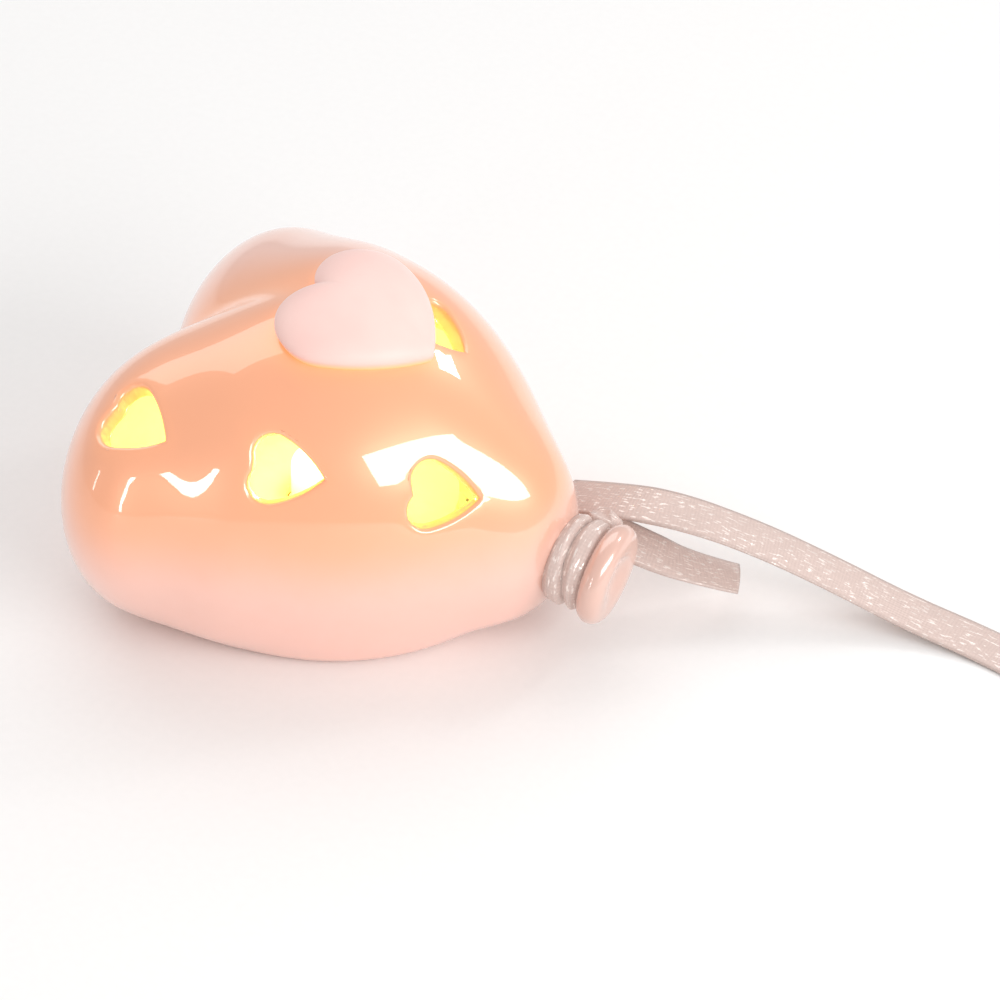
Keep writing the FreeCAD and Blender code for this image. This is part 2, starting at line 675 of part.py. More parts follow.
def positive_contact():
    """A clip that presses on the cell's rim and stands up through the board."""
    rim = CELL_X + CELL_RADIUS
    top = BOARD_TOP + 0.4
    mid = CELL_Z + 1.2
    outline = [
        (rim, mid),
        (rim + 0.2, CELL_Z),
        (rim + 0.2 + SPRING_METAL, CELL_Z),
        (rim + SPRING_METAL, mid),
        (rim + 2 * SPRING_METAL, mid + 1.4),
        (rim + 2 * SPRING_METAL, top),
        (rim + SPRING_METAL, top),
        (rim + SPRING_METAL, mid + 1.4),
    ]
    return profile(outline, CLIP_WIDTH)


def negative_contact():
    """A leaf spring under the roof that presses on the cell's cap."""
    touch = CELL_Z + CELL_THICKNESS
    left = CELL_X - 5.0
    under = POCKET_TOP
    top = BOARD_TOP + 0.4
    half = SPRING_METAL / 2
    outline = [
        (left - half, top),
        (left - half, under - SPRING_METAL),
        (left + 2.4, under - SPRING_METAL),
        (left + 5.0, touch),
        (left + 6.4, touch),
        (left + 7.0, touch + 0.3),
        (left + 6.8, touch + 0.45),
        (left + 6.3, touch + SPRING_METAL),
        (left + 5.1, touch + SPRING_METAL),
        (left + 2.5, under),
        (left + half, under),
        (left + half, top),
    ]
    return profile(outline, LEAF_WIDTH)


def series_resistor():
    x = LAMP_AT[0] + 6.0
    return block(x, LAMP_Y, 1.6, 3.2, BOARD_TOP, BOARD_TOP + 0.6)


def battery_door():
    door = cylinder(DOOR_RADIUS, RECESS, DOOR_TOP, CELL_X)
    for angle in LOCKED:
        door = door.fuse(lug(angle, DOOR_TOP - LUG_THICKNESS, DOOR_TOP))
    hub = Vector(CELL_X - COIN_SLOT_WIDTH / 2, 0, RECESS + COIN_SLOT_DEPTH - COIN_SLOT_RADIUS)
    door = door.cut(Part.makeCylinder(COIN_SLOT_RADIUS, COIN_SLOT_WIDTH, hub, Vector(1, 0, 0)))
    arrow = [(CELL_X + 4.2, -1.0), (CELL_X + 5.8, 0.0), (CELL_X + 4.2, 1.0)]
    mark = [Vector(x, y, RECESS - 1) for x, y in arrow]
    mark = Part.Face(Part.makePolygon(mark + mark[:1])).extrude(Vector(0, 0, 1.3))
    return door.cut(mark)


def parts():
    pieces = {
        "balloon_shell": balloon_shell(),
        "raised_heart": raised_heart(),
        "ribbon_neck_wrap": ribbon_neck_wrap(),
        "ribbon_knot": ribbon_knot(),
        "ribbon_long_tail": ribbon_long_tail(),
        "ribbon_short_tail": ribbon_short_tail(),
        "silicone_ring": silicone_ring(),
        "led_housing": led_housing(),
        "housing_lid": housing_lid(),
        "lid_screws": lid_screws(),
        "circuit_board": circuit_board(),
        "led_lamp": led_lamp(),
        "slide_switch_case": slide_switch_case(),
        "switch_terminals": switch_terminals(),
        "switch_slider": switch_slider(),
        "coin_cell": coin_cell(),
        "positive_contact": positive_contact(),
        "negative_contact": negative_contact(),
        "series_resistor": series_resistor(),
        "battery_door": battery_door(),
    }
    pieces.update(led_leads())
    return pieces


os.makedirs("parts", exist_ok=True)
for name, shape in parts().items():
    shape.exportStep(os.path.join("parts", name + ".step"))
    size = shape.BoundBox
    print(
        name,
        "solids",
        len(shape.Solids),
        "valid",
        shape.isValid(),
        "volume",
        round(shape.Volume, 1),
        "x",
        round(size.XMin, 2),
        round(size.XMax, 2),
        "y",
        round(size.YMin, 2),
        round(size.YMax, 2),
        "z",
        round(size.ZMin, 2),
        round(size.ZMax, 2),
    )
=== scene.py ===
import json
import math

import bmesh
import bpy
import numpy as np
from bpy.props import FloatProperty, FloatVectorProperty, IntProperty, PointerProperty
from mathutils import Matrix, Vector
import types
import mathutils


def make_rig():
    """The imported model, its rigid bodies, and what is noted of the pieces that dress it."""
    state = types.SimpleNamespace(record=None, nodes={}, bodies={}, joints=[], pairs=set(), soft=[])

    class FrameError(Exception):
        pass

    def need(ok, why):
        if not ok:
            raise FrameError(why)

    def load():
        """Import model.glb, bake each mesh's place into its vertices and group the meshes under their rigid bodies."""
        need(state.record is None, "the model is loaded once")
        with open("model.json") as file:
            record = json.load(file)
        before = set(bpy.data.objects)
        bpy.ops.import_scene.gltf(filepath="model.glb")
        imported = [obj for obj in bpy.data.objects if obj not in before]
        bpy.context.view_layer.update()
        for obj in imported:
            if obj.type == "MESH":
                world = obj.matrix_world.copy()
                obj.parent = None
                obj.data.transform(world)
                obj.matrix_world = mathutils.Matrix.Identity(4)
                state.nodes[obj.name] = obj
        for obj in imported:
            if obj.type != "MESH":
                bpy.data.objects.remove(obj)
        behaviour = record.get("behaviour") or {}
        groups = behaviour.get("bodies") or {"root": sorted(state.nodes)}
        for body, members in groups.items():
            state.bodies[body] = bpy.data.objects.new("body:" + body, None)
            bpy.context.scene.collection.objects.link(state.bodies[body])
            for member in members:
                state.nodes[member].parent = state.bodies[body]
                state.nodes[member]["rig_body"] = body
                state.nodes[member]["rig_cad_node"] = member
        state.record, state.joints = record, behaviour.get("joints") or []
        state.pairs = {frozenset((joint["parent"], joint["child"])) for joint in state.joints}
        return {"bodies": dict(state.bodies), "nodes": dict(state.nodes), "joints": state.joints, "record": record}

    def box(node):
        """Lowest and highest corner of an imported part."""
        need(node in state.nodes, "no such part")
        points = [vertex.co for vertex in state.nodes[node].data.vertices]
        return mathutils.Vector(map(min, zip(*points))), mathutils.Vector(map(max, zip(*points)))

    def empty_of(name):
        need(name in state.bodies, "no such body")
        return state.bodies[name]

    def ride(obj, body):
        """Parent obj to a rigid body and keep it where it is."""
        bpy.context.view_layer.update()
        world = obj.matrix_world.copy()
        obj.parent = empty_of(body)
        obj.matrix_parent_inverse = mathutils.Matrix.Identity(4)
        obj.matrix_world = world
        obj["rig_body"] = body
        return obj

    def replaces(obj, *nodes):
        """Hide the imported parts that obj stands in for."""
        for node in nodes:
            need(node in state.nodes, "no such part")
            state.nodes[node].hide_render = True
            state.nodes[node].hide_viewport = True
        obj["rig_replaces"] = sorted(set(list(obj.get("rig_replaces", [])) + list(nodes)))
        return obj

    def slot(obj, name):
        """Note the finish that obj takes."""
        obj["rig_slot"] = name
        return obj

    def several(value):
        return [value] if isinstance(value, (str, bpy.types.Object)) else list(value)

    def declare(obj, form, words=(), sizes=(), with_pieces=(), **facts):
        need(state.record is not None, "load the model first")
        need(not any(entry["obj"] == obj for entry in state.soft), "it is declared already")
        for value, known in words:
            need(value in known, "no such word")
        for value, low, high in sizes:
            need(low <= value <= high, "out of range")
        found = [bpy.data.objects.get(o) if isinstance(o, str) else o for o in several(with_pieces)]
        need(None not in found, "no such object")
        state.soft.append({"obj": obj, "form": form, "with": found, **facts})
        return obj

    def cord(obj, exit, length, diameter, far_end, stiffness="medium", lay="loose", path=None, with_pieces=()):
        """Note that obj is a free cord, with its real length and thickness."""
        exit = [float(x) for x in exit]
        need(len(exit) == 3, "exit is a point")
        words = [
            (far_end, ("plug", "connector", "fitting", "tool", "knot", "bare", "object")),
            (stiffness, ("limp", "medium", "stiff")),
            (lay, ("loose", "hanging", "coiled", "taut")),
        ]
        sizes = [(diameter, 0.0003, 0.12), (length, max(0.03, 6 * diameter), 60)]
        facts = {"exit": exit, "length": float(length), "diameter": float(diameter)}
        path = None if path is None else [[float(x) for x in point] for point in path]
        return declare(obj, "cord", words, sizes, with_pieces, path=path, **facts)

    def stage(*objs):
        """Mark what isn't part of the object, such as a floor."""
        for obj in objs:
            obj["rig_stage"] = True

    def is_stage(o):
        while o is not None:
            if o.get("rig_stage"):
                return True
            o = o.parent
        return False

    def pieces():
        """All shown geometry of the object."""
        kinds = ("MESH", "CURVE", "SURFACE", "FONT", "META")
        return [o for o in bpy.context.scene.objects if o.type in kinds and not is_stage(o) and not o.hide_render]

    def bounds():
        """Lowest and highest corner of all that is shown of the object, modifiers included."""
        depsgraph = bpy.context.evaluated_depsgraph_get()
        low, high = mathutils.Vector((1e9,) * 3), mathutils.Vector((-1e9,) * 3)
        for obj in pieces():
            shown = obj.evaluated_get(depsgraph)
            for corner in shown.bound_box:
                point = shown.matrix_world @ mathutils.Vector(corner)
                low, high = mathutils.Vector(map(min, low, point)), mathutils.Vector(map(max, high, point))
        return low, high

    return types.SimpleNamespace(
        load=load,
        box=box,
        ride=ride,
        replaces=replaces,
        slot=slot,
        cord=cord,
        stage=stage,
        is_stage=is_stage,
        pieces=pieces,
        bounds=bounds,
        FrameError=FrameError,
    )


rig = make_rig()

bl_info = {
    "name": "Heart balloon lamp",
    "version": (1, 0, 0),
    "blender": (4, 5, 0),
    "location": "View3D > Sidebar > Heart Lamp",
    "description": "Porcelain, satin ribbon, battery light and stage of a pierced heart balloon lamp",
    "category": "Object",
}

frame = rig.load()
CAD_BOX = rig.bounds()

MM = 0.001
SHELL_LOW, SHELL_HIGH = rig.box("balloon_shell")
HOUSING_LOW, HOUSING_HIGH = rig.box("led_housing")
LAMP_LOW, LAMP_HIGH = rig.box("led_lamp")
RING_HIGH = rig.box("silicone_ring")[1]
LIGHT_X = (HOUSING_LOW.x + HOUSING_HIGH.x) / 2
LIP_FACE = SHELL_HIGH.x
BACK = SHELL_LOW.x


def length(name, description, default):
    """A size in metres, shown in the scene's units."""
    return FloatProperty(name=name, description=description, default=default, unit="LENGTH", precision=5)


def turn(name, description, degrees):
    return FloatProperty(name=name, description=description, default=math.radians(degrees), subtype="ANGLE")


def colour(name, description, default):
    return FloatVectorProperty(
        name=name, description=description, default=default, size=3, min=0, max=1, subtype="COLOR"
    )


# ---- what a user would change ----
class HeartLampPorcelain(bpy.types.PropertyGroup):
    body_length: length("Body length", "From the lobes' backs to the root of the neck", 56.1 * MM)
    body_width: length("Body width", "Across both lobes", 57.6 * MM)
    body_height: length("Body height", "From the foot to the top of the lobes", 38.9 * MM)
    wall: length("Wall", "Thickness of the porcelain", 2.4 * MM)
    floor: length("Floor", "Thickness of the foot round the base hole", 2.6 * MM)
    foot_ring: length("Foot ring", "Width of the flat ring round the base hole", 2.3 * MM)
    pierced_width: length("Pierced width", "Width of a pierced heart", 8.0 * MM)
    pierced_length: length("Pierced length", "Length of a pierced heart", 8.4 * MM)
    rim_round: length("Rim rounding", "Radius of the glazed edge of a pierced heart", 0.55 * MM)
    raised_width: length("Raised width", "Width of the raised heart", 20.0 * MM)
    raised_length: length("Raised length", "Length of the raised heart", 17.2 * MM)
    raised_height: length("Raised height", "How far the raised heart stands out", 2.8 * MM)
    raised_turn: turn("Raised turn", "Turn of the raised heart on the top", -3)
    raised_x: length("Raised X", "Middle of the raised heart, along the lamp", -0.6 * MM)
    raised_y: length("Raised Y", "Middle of the raised heart, across the lamp", -1.7 * MM)
    neck_radius: length("Neck radius", "Radius of the tied neck", 4.2 * MM)
    neck_droop: turn("Neck droop", "Slope of the neck below the horizontal", 8)
    lip_radius: length("Lip radius", "Radius of the rolled lip", 6.1 * MM)
    lip_thickness: length("Lip thickness", "Thickness of the rolled lip", 3.1 * MM)
    fineness: IntProperty(name="Fineness", description="Subdivisions of the porcelain's mesh", default=6)
    # Painted light: peach is the glaze with the lamp's light through the wall painted into its colour; pink is the
    # glaze where little of that light is painted.
    peach: colour("Warm glaze", "Lustre glaze where the light shines through", (0.97, 0.43, 0.235))
    pink: colour("Cool glaze", "Lustre glaze low on the body and on the back lobe", (0.98, 0.57, 0.47))
    pearl: colour("Pearl glaze", "Lustre glaze on the neck and the lip", (0.74, 0.47, 0.39))
    bisque: colour("Bisque", "Unglazed pink of the raised heart", (0.97, 0.62, 0.565))


class HeartLampRibbon(bpy.types.PropertyGroup):
    width: length("Width", "Width of the satin ribbon", 6.0 * MM)
    thickness: length("Thickness", "Thickness of the satin", 0.2 * MM)
    tilt: turn("Tilt", "How far the tails stand on edge where they leave the knot", 7)
    satin: colour("Satin", "Colour of the ribbon", (0.69, 0.54, 0.49))
    thread: colour("Thread", "Colour of the glittering weft", (1.0, 0.90, 0.84))


class HeartLampLight(bpy.types.PropertyGroup):
    power: FloatProperty(name="Power", description="Light of the lamp inside", default=0.007, unit="POWER")
    # glow is the colour of the lamp's light painted on the wall inside, as its tint and its glow.
    glow: colour("Glow", "Colour of the lit wall", (1.0, 0.74, 0.16))
    warmth: colour("Warmth", "Colour of the lamp's light", (1.0, 0.80, 0.42))


class HeartLampStage(bpy.types.PropertyGroup):
    floor: colour("Floor", "Colour of the plain floor", (0.93, 0.925, 0.92))
    room: FloatProperty(name="Room", description="Brightness of the room round the stage", default=0.62)
    lens: FloatProperty(name="Lens", description="Focal length in millimetres", default=148.66)
    azimuth: turn("Azimuth", "Camera's turn round the object from the front", 27.153)
    elevation: turn("Elevation", "Camera's height above the level", 37.730)
    distance: length("Distance", "From the camera to the heart's middle", 480 * MM)


def shaded(tone, share):
    """A colour with its light cut to a share."""
    return tuple(c * share for c in tone)


def settings():
    scene = bpy.context.scene
    return scene.heart_lamp_porcelain, scene.heart_lamp_ribbon, scene.heart_lamp_light, scene.heart_lamp_stage


# ---- material nodes ----
class Node:
    """One output of a material's node. Arithmetic on it adds Math nodes."""

    def __init__(self, tree, socket):
        self.tree = tree
        self.socket = socket

    def make(self, kind, sockets=None, output=0, **choices):
        """Adds a node, sets its choices first and then its sockets, and gives one of its outputs."""
        node = self.tree.nodes.new(kind)
        for name, value in choices.items():
            setattr(node, name, value)
        for name, value in (sockets or {}).items():
            if isinstance(value, Node):
                self.tree.links.new(value.socket, node.inputs[name])
            else:
                node.inputs[name].default_value = value
        return Node(self.tree, node.outputs[output])

    def maths(self, operation, first, second=0.0):
        return self.make("ShaderNodeMath", {0: first, 1: second}, operation=operation)

    def __add__(self, other):
        return self.maths("ADD", self, other)

    __radd__ = __add__

    def __sub__(self, other):
        return self.maths("SUBTRACT", self, other)

    def __rsub__(self, other):
        return self.maths("SUBTRACT", other, self)

    def __mul__(self, other):
        return self.maths("MULTIPLY", self, other)

    __rmul__ = __mul__

    def __gt__(self, other):
        return self.maths("GREATER_THAN", self, other)

    def __lt__(self, other):
        return self.maths("LESS_THAN", self, other)

    def sine(self):
        return self.maths("SINE", self)

    def ramp(self, low, high):
        """From 0 at low to 1 at high, smoothly."""
        return self.make(
            "ShaderNodeMapRange",
            {"Value": self, "From Min": low, "From Max": high},
            interpolation_type="SMOOTHSTEP",
        )

    def mix(self, first, second):
        """The first colour where this is 0 and the second where it is 1."""
        first, second = [v if isinstance(v, Node) else (*v, 1.0) for v in (first, second)]
        return self.make("ShaderNodeMix", {0: self, 6: first, 7: second}, output=2, data_type="RGBA")

    def noise(self, place, scale, detail=2.0, stretch=None):
        if stretch:
            place = self.make("ShaderNodeMapping", {"Vector": place, "Scale": stretch})
        return self.make("ShaderNodeTexNoise", {"Vector": place, "Scale": scale, "Detail": detail})

    def attribute(self, name):
        return self.make("ShaderNodeAttribute", output="Fac", attribute_name=name)

    def parts(self, vector):
        return [self.make("ShaderNodeSeparateXYZ", {0: vector}, output=i) for i in range(3)]

    def bump(self, height, strength, depth):
        return self.make("ShaderNodeBump", {"Height": height, "Strength": strength, "Distance": depth})


def finish(name, paint):
    """A material whose shader's sockets are what paint(first node, object coordinates) gives."""
    material = bpy.data.materials.new(name)
    material.use_nodes = True
    tree = material.node_tree
    shader = next(n for n in tree.nodes if n.type == "BSDF_PRINCIPLED")
    coordinates = tree.nodes.new("ShaderNodeTexCoord")
    place = Node(tree, coordinates.outputs["Object"])
    for socket, value in paint(place).items():
        if isinstance(value, Node):
            tree.links.new(value.socket, shader.inputs[socket])
        else:
            shader.inputs[socket].default_value = value
    return material


def lustre_glaze():
    porcelain = settings()[0]
    peach, pink, pearl = [tuple(c) for c in (porcelain.peach, porcelain.pink, porcelain.pearl)]

    def paint(place):
        lamp_tint = place.attribute("warmth")
        pale = place.attribute("paleness")
        ember = place.attribute("ember")
        clouds = place.noise(place, 55.0, 3.0)
        mottle = place.noise(place, 420.0, 3.0)
        # Painted glow: the glaze turns from pink to peach where the lamp's light shining through the wall is painted
        # into its colour.
        body = (lamp_tint + (clouds - 0.5) * 0.35).ramp(0.0, 1.0).mix(pink, peach)
        body = pale.mix(body, pearl)
        body = ((mottle - 0.5) * 0.30 + 0.08).ramp(0.0, 1.0).mix(body, shaded(peach, 0.86))
        waves = place.noise(place, 95.0, 1.0)
        skin = place.noise(place, 1400.0, 2.0)
        # Painted glow: the glaze glows orange round the pierced hearts, round the raised heart and along the cleft,
        # though the porcelain is no lamp.
        glow = ember.mix((0.0, 0.0, 0.0), (1.0, 0.36, 0.04))
        # Painted glow: the glaze glows dull orange where the lamp's light through the wall is painted in.
        glow = (lamp_tint * 0.5).mix(glow, (0.30, 0.075, 0.02))
        return {
            "Base Color": body,
            "Roughness": (clouds - 0.5) * 0.12 + 0.33,
            "Metallic": lamp_tint * 0.10 + 0.08,
            "Coat Weight": 1.0,
            "Coat Roughness": 0.025,
            "Coat IOR": 1.85,
            "Sheen Weight": 0.08,
            "Emission Color": glow,
            "Emission Strength": 0.55,
            "Normal": place.bump(waves + skin * 0.012, 0.13, 0.35 * MM),
        }

    return finish("lustre_glaze", paint)


def lit_wall():
    """The wall inside, with the lamp's light on it painted in: a yellow tint in its colour and a yellow glow."""
    light = settings()[2]
    glow = tuple(light.glow)

    def paint(place):
        clouds = place.noise(place, 130.0, 3.0)
        fine = place.noise(place, 900.0, 2.0)
        shade = (clouds * 0.8 + fine * 0.2).ramp(0.25, 0.8)
        return {
            "Base Color": shade.mix((0.93, 0.80, 0.52), (0.95, 0.86, 0.62)),
            "Roughness": fine * 0.2 + 0.45,
            "Emission Color": shade.mix(shaded(glow, 0.72), glow),
            "Emission Strength": 0.62,
            "Normal": place.bump(clouds + fine * 0.3, 0.35, 0.2 * MM),
        }

    return finish("lit_wall", paint)


def bisque():
    porcelain = settings()[0]
    pink = tuple(porcelain.bisque)

    def paint(place):
        clouds = place.noise(place, 90.0, 3.0)
        grain = place.noise(place, 2600.0, 3.0)
        tone = clouds.ramp(0.3, 0.75).mix(pink, (0.98, 0.68, 0.62))
        # Painted glow: orange colour and glow low on the raised heart's sides, where the lamp's light would leak round
        # its foot.
        tone = (place.attribute("ember") * 0.8).mix(tone, (1.0, 0.46, 0.16))
        return {
            "Base Color": tone,
            "Roughness": grain * 0.16 + 0.46,
            "Sheen Weight": 0.35,
            "Sheen Roughness": 0.4,
            "Coat Weight": 0.12,
            "Coat Roughness": 0.35,
            "Emission Color": place.attribute("ember").mix((0.0, 0.0, 0.0), (1.0, 0.33, 0.06)),
            "Emission Strength": 0.5,
            "Normal": place.bump(grain + clouds * 3.0, 0.22, 0.06 * MM),
        }

    return finish("bisque_porcelain", paint)


def satin():
    ribbon = settings()[1]
    base, thread = tuple(ribbon.satin), tuple(ribbon.thread)

    def paint(place):
        weave = place.make("ShaderNodeUVMap", uv_map="cloth")
        along, across, _ = place.parts(weave)
        weft = (along * (2 * math.pi / (0.42 * MM))).sine()
        warp = (across * (2 * math.pi / (0.36 * MM))).sine()
        streaks = place.noise(weave, 1.0, 3.0, stretch=(260.0, 3600.0, 1.0))
        flecks = place.noise(weave, 1.0, 1.0, stretch=(900.0, 3400.0, 1.0))
        folds = place.noise(weave, 1.0, 2.0, stretch=(120.0, 300.0, 1.0))
        half = ribbon.width / 2
        edge = across.maths("ABSOLUTE", across).ramp(half - 0.5 * MM, half - 0.25 * MM)
        tone = streaks.ramp(0.35, 0.7).mix(shaded(base, 0.93), base)
        tone = (weft * 0.10 + 0.10).mix(tone, shaded(base, 0.72))
        tone = (flecks.ramp(0.58, 0.68) * 0.75).mix(tone, thread)
        # Painted shade: both edges of the ribbon are darker, standing in for the shade where the edges turn under.
        tone = (edge * 0.55).mix(tone, shaded(base, 0.80))
        return {
            "Base Color": tone,
            "Roughness": streaks * 0.22 + 0.30 - flecks.ramp(0.60, 0.68) * 0.14,
            "Metallic": flecks.ramp(0.60, 0.68) * 0.25 + 0.05,
            "Sheen Weight": 0.08,
            "Sheen Roughness": 0.35,
            "Anisotropic": 0.5,
            "Normal": place.bump(weft * 0.25 + warp * 0.25 + streaks * 0.6 + folds * 3.0, 0.5, 0.05 * MM),
        }

    return finish("woven_satin", paint)


def moulded(name, shade, rough, grain_depth=0.02 * MM, translucent=0.0):
    """A moulded plastic or rubber: fine spark-eroded grain, faint flow lines and rubbed patches."""

    def paint(place):
        grain = place.noise(place, 5200.0, 2.0)
        flow = place.noise(place, 1.0, 2.0, stretch=(60.0, 420.0, 60.0))
        rubbed = place.noise(place, 240.0, 4.0).ramp(0.52, 0.72)
        dark = shaded(shade, 0.90)
        return {
            "Base Color": (flow * 0.7 + rubbed * 0.3).ramp(0.2, 0.8).mix(dark, shade),
            "Roughness": grain * 0.14 + rough - rubbed * 0.12,
            "Specular IOR Level": 0.5,
            "Subsurface Weight": translucent,
            "Subsurface Radius": (1.0 * MM, 0.8 * MM, 0.6 * MM),
            "Normal": place.bump(grain + flow * 2.0, 0.4, grain_depth),
        }

    return finish(name, paint)


def brushed(name, shade, rough, stretch):
    """A drawn or rolled metal with fine lines along one way and a few dull spots."""

    def paint(place):
        lines = place.noise(place, 1.0, 3.0, stretch=stretch)
        spots = place.noise(place, 700.0, 4.0).ramp(0.58, 0.75)
        dull = shaded(shade, 0.72)
        return {
            "Base Color": (spots * 0.6 + lines * 0.25).ramp(0.0, 1.0).mix(shade, dull),
            "Roughness": lines * 0.18 + rough + spots * 0.15,
            "Metallic": 1.0 - spots * 0.2,
            "Normal": place.bump(lines, 0.35, 0.01 * MM),
        }

    return finish(name, paint)


def laminate():
    """Green solder mask over glass cloth, with copper tracks under it."""

    def paint(place):
        x, y, _ = place.parts(place)
        weave = ((x * 5200.0).sine() * (y * 5200.0).sine()) * 0.5 + 0.5
        track = ((y * 1150.0 + (x * 420.0).sine() * 1.6).sine() > 0.72) * ((x * 160.0).sine() > -0.55)
        tone = (track * 0.7).mix((0.035, 0.20, 0.085), (0.09, 0.34, 0.12))
        return {
            "Base Color": (weave * 0.25).mix(tone, (0.10, 0.30, 0.14)),
            "Roughness": place.noise(place, 900.0) * 0.15 + 0.28,
            "Coat Weight": 0.5,
            "Normal": place.bump(track * 2.0 + weave * 0.4, 0.4, 0.03 * MM),
        }

    return finish("board_laminate", paint)


def lamp_epoxy():
    """Warm clear epoxy, brightest in its dome and yellow at its flange."""
    light = settings()[2]
    lamp_tint = tuple(light.warmth)
    low, high = LAMP_LOW.z, LAMP_HIGH.z

    def paint(place):
        height = place.parts(place)[2].ramp(low, high)
        swirl = place.noise(place, 500.0, 2.0)
        return {
            "Base Color": (swirl * 0.3).mix((1.0, 0.86, 0.55), (0.95, 0.75, 0.40)),
            "Roughness": swirl * 0.08 + 0.08,
            "Emission Color": height.mix((0.95, 0.42, 0.06), lamp_tint),
            "Emission Strength": 3.0,
            "Coat Weight": 0.6,
            "Normal": place.bump(swirl, 0.2, 0.03 * MM),
        }

    return finish("lamp_epoxy", paint)


def resistor_body():
    """A black glazed chip between two tinned ends."""
    low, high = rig.box("series_resistor")

    def paint(place):
        y = place.parts(place)[1]
        ends = (y < low.y + 0.5 * MM) + (y > high.y - 0.5 * MM)
        grain = place.noise(place, 3000.0, 2.0)
        return {
            "Base Color": ends.mix((0.03, 0.03, 0.035), (0.74, 0.74, 0.72)),
            "Roughness": grain * 0.2 + 0.25,
            "Metallic": ends * 0.9,
            "Normal": place.bump(grain, 0.3, 0.02 * MM),
        }

    return finish("resistor_body", paint)


def paper():
    floor = tuple(settings()[3].floor)

    def paint(place):
        fibre = place.noise(place, 900.0, 4.0)
        return {
            "Base Color": fibre.ramp(0.2, 0.8).mix(shaded(floor, 0.985), floor),
            "Roughness": fibre * 0.1 + 0.55,
            "Specular IOR Level": 0.25,
            "Normal": place.bump(fibre, 0.1, 0.02 * MM),
        }

    return finish("paper_floor", paint)


# ---- the heart's form ----
def soft_min(a, b, softness):
    h = np.maximum(softness - np.abs(a - b), 0) / softness
    return np.minimum(a, b) - h * h * softness / 4


def ellipsoid(p, centre, axes):
    q = (p - np.array(centre)) / np.array(axes)
    reach = np.linalg.norm(q, axis=1)
    return reach * (reach - 1) / np.maximum(np.linalg.norm(q / np.array(axes), axis=1), 1e-9)


def tapered(p, a, ra, b, rb):
    """Distance to the round cone from a ball at a to a smaller ball at b."""
    axis, arm = np.array(b) - np.array(a), p - np.array(a)
    length2, taper = axis @ axis, ra - rb
    side2 = length2 - taper * taper
    along = arm @ axis
    off2 = ((arm * length2 - along[:, None] * axis) ** 2).sum(1)
    past = along - length2
    limit = np.sign(taper) * taper * taper * off2
    beyond = np.sqrt(off2 + past * past * length2) / length2 - rb
    before = np.sqrt(off2 + along * along * length2) / length2 - ra
    beside = (np.sqrt(off2 * side2 / length2) + along * taper) / length2 - ra
    near_start = np.sign(along) * side2 * along * along * length2 < limit
    near_end = np.sign(past) * side2 * past * past * length2 > limit
    return np.where(near_end, beyond, np.where(near_start, before, beside))


def bearing(azimuth, height):
    """Unit direction: azimuth from +X towards +Y, and height above the level, in degrees."""
    a, h = math.radians(azimuth), math.radians(height)
    return Vector((math.cos(h) * math.cos(a), math.cos(h) * math.sin(a), math.sin(h)))


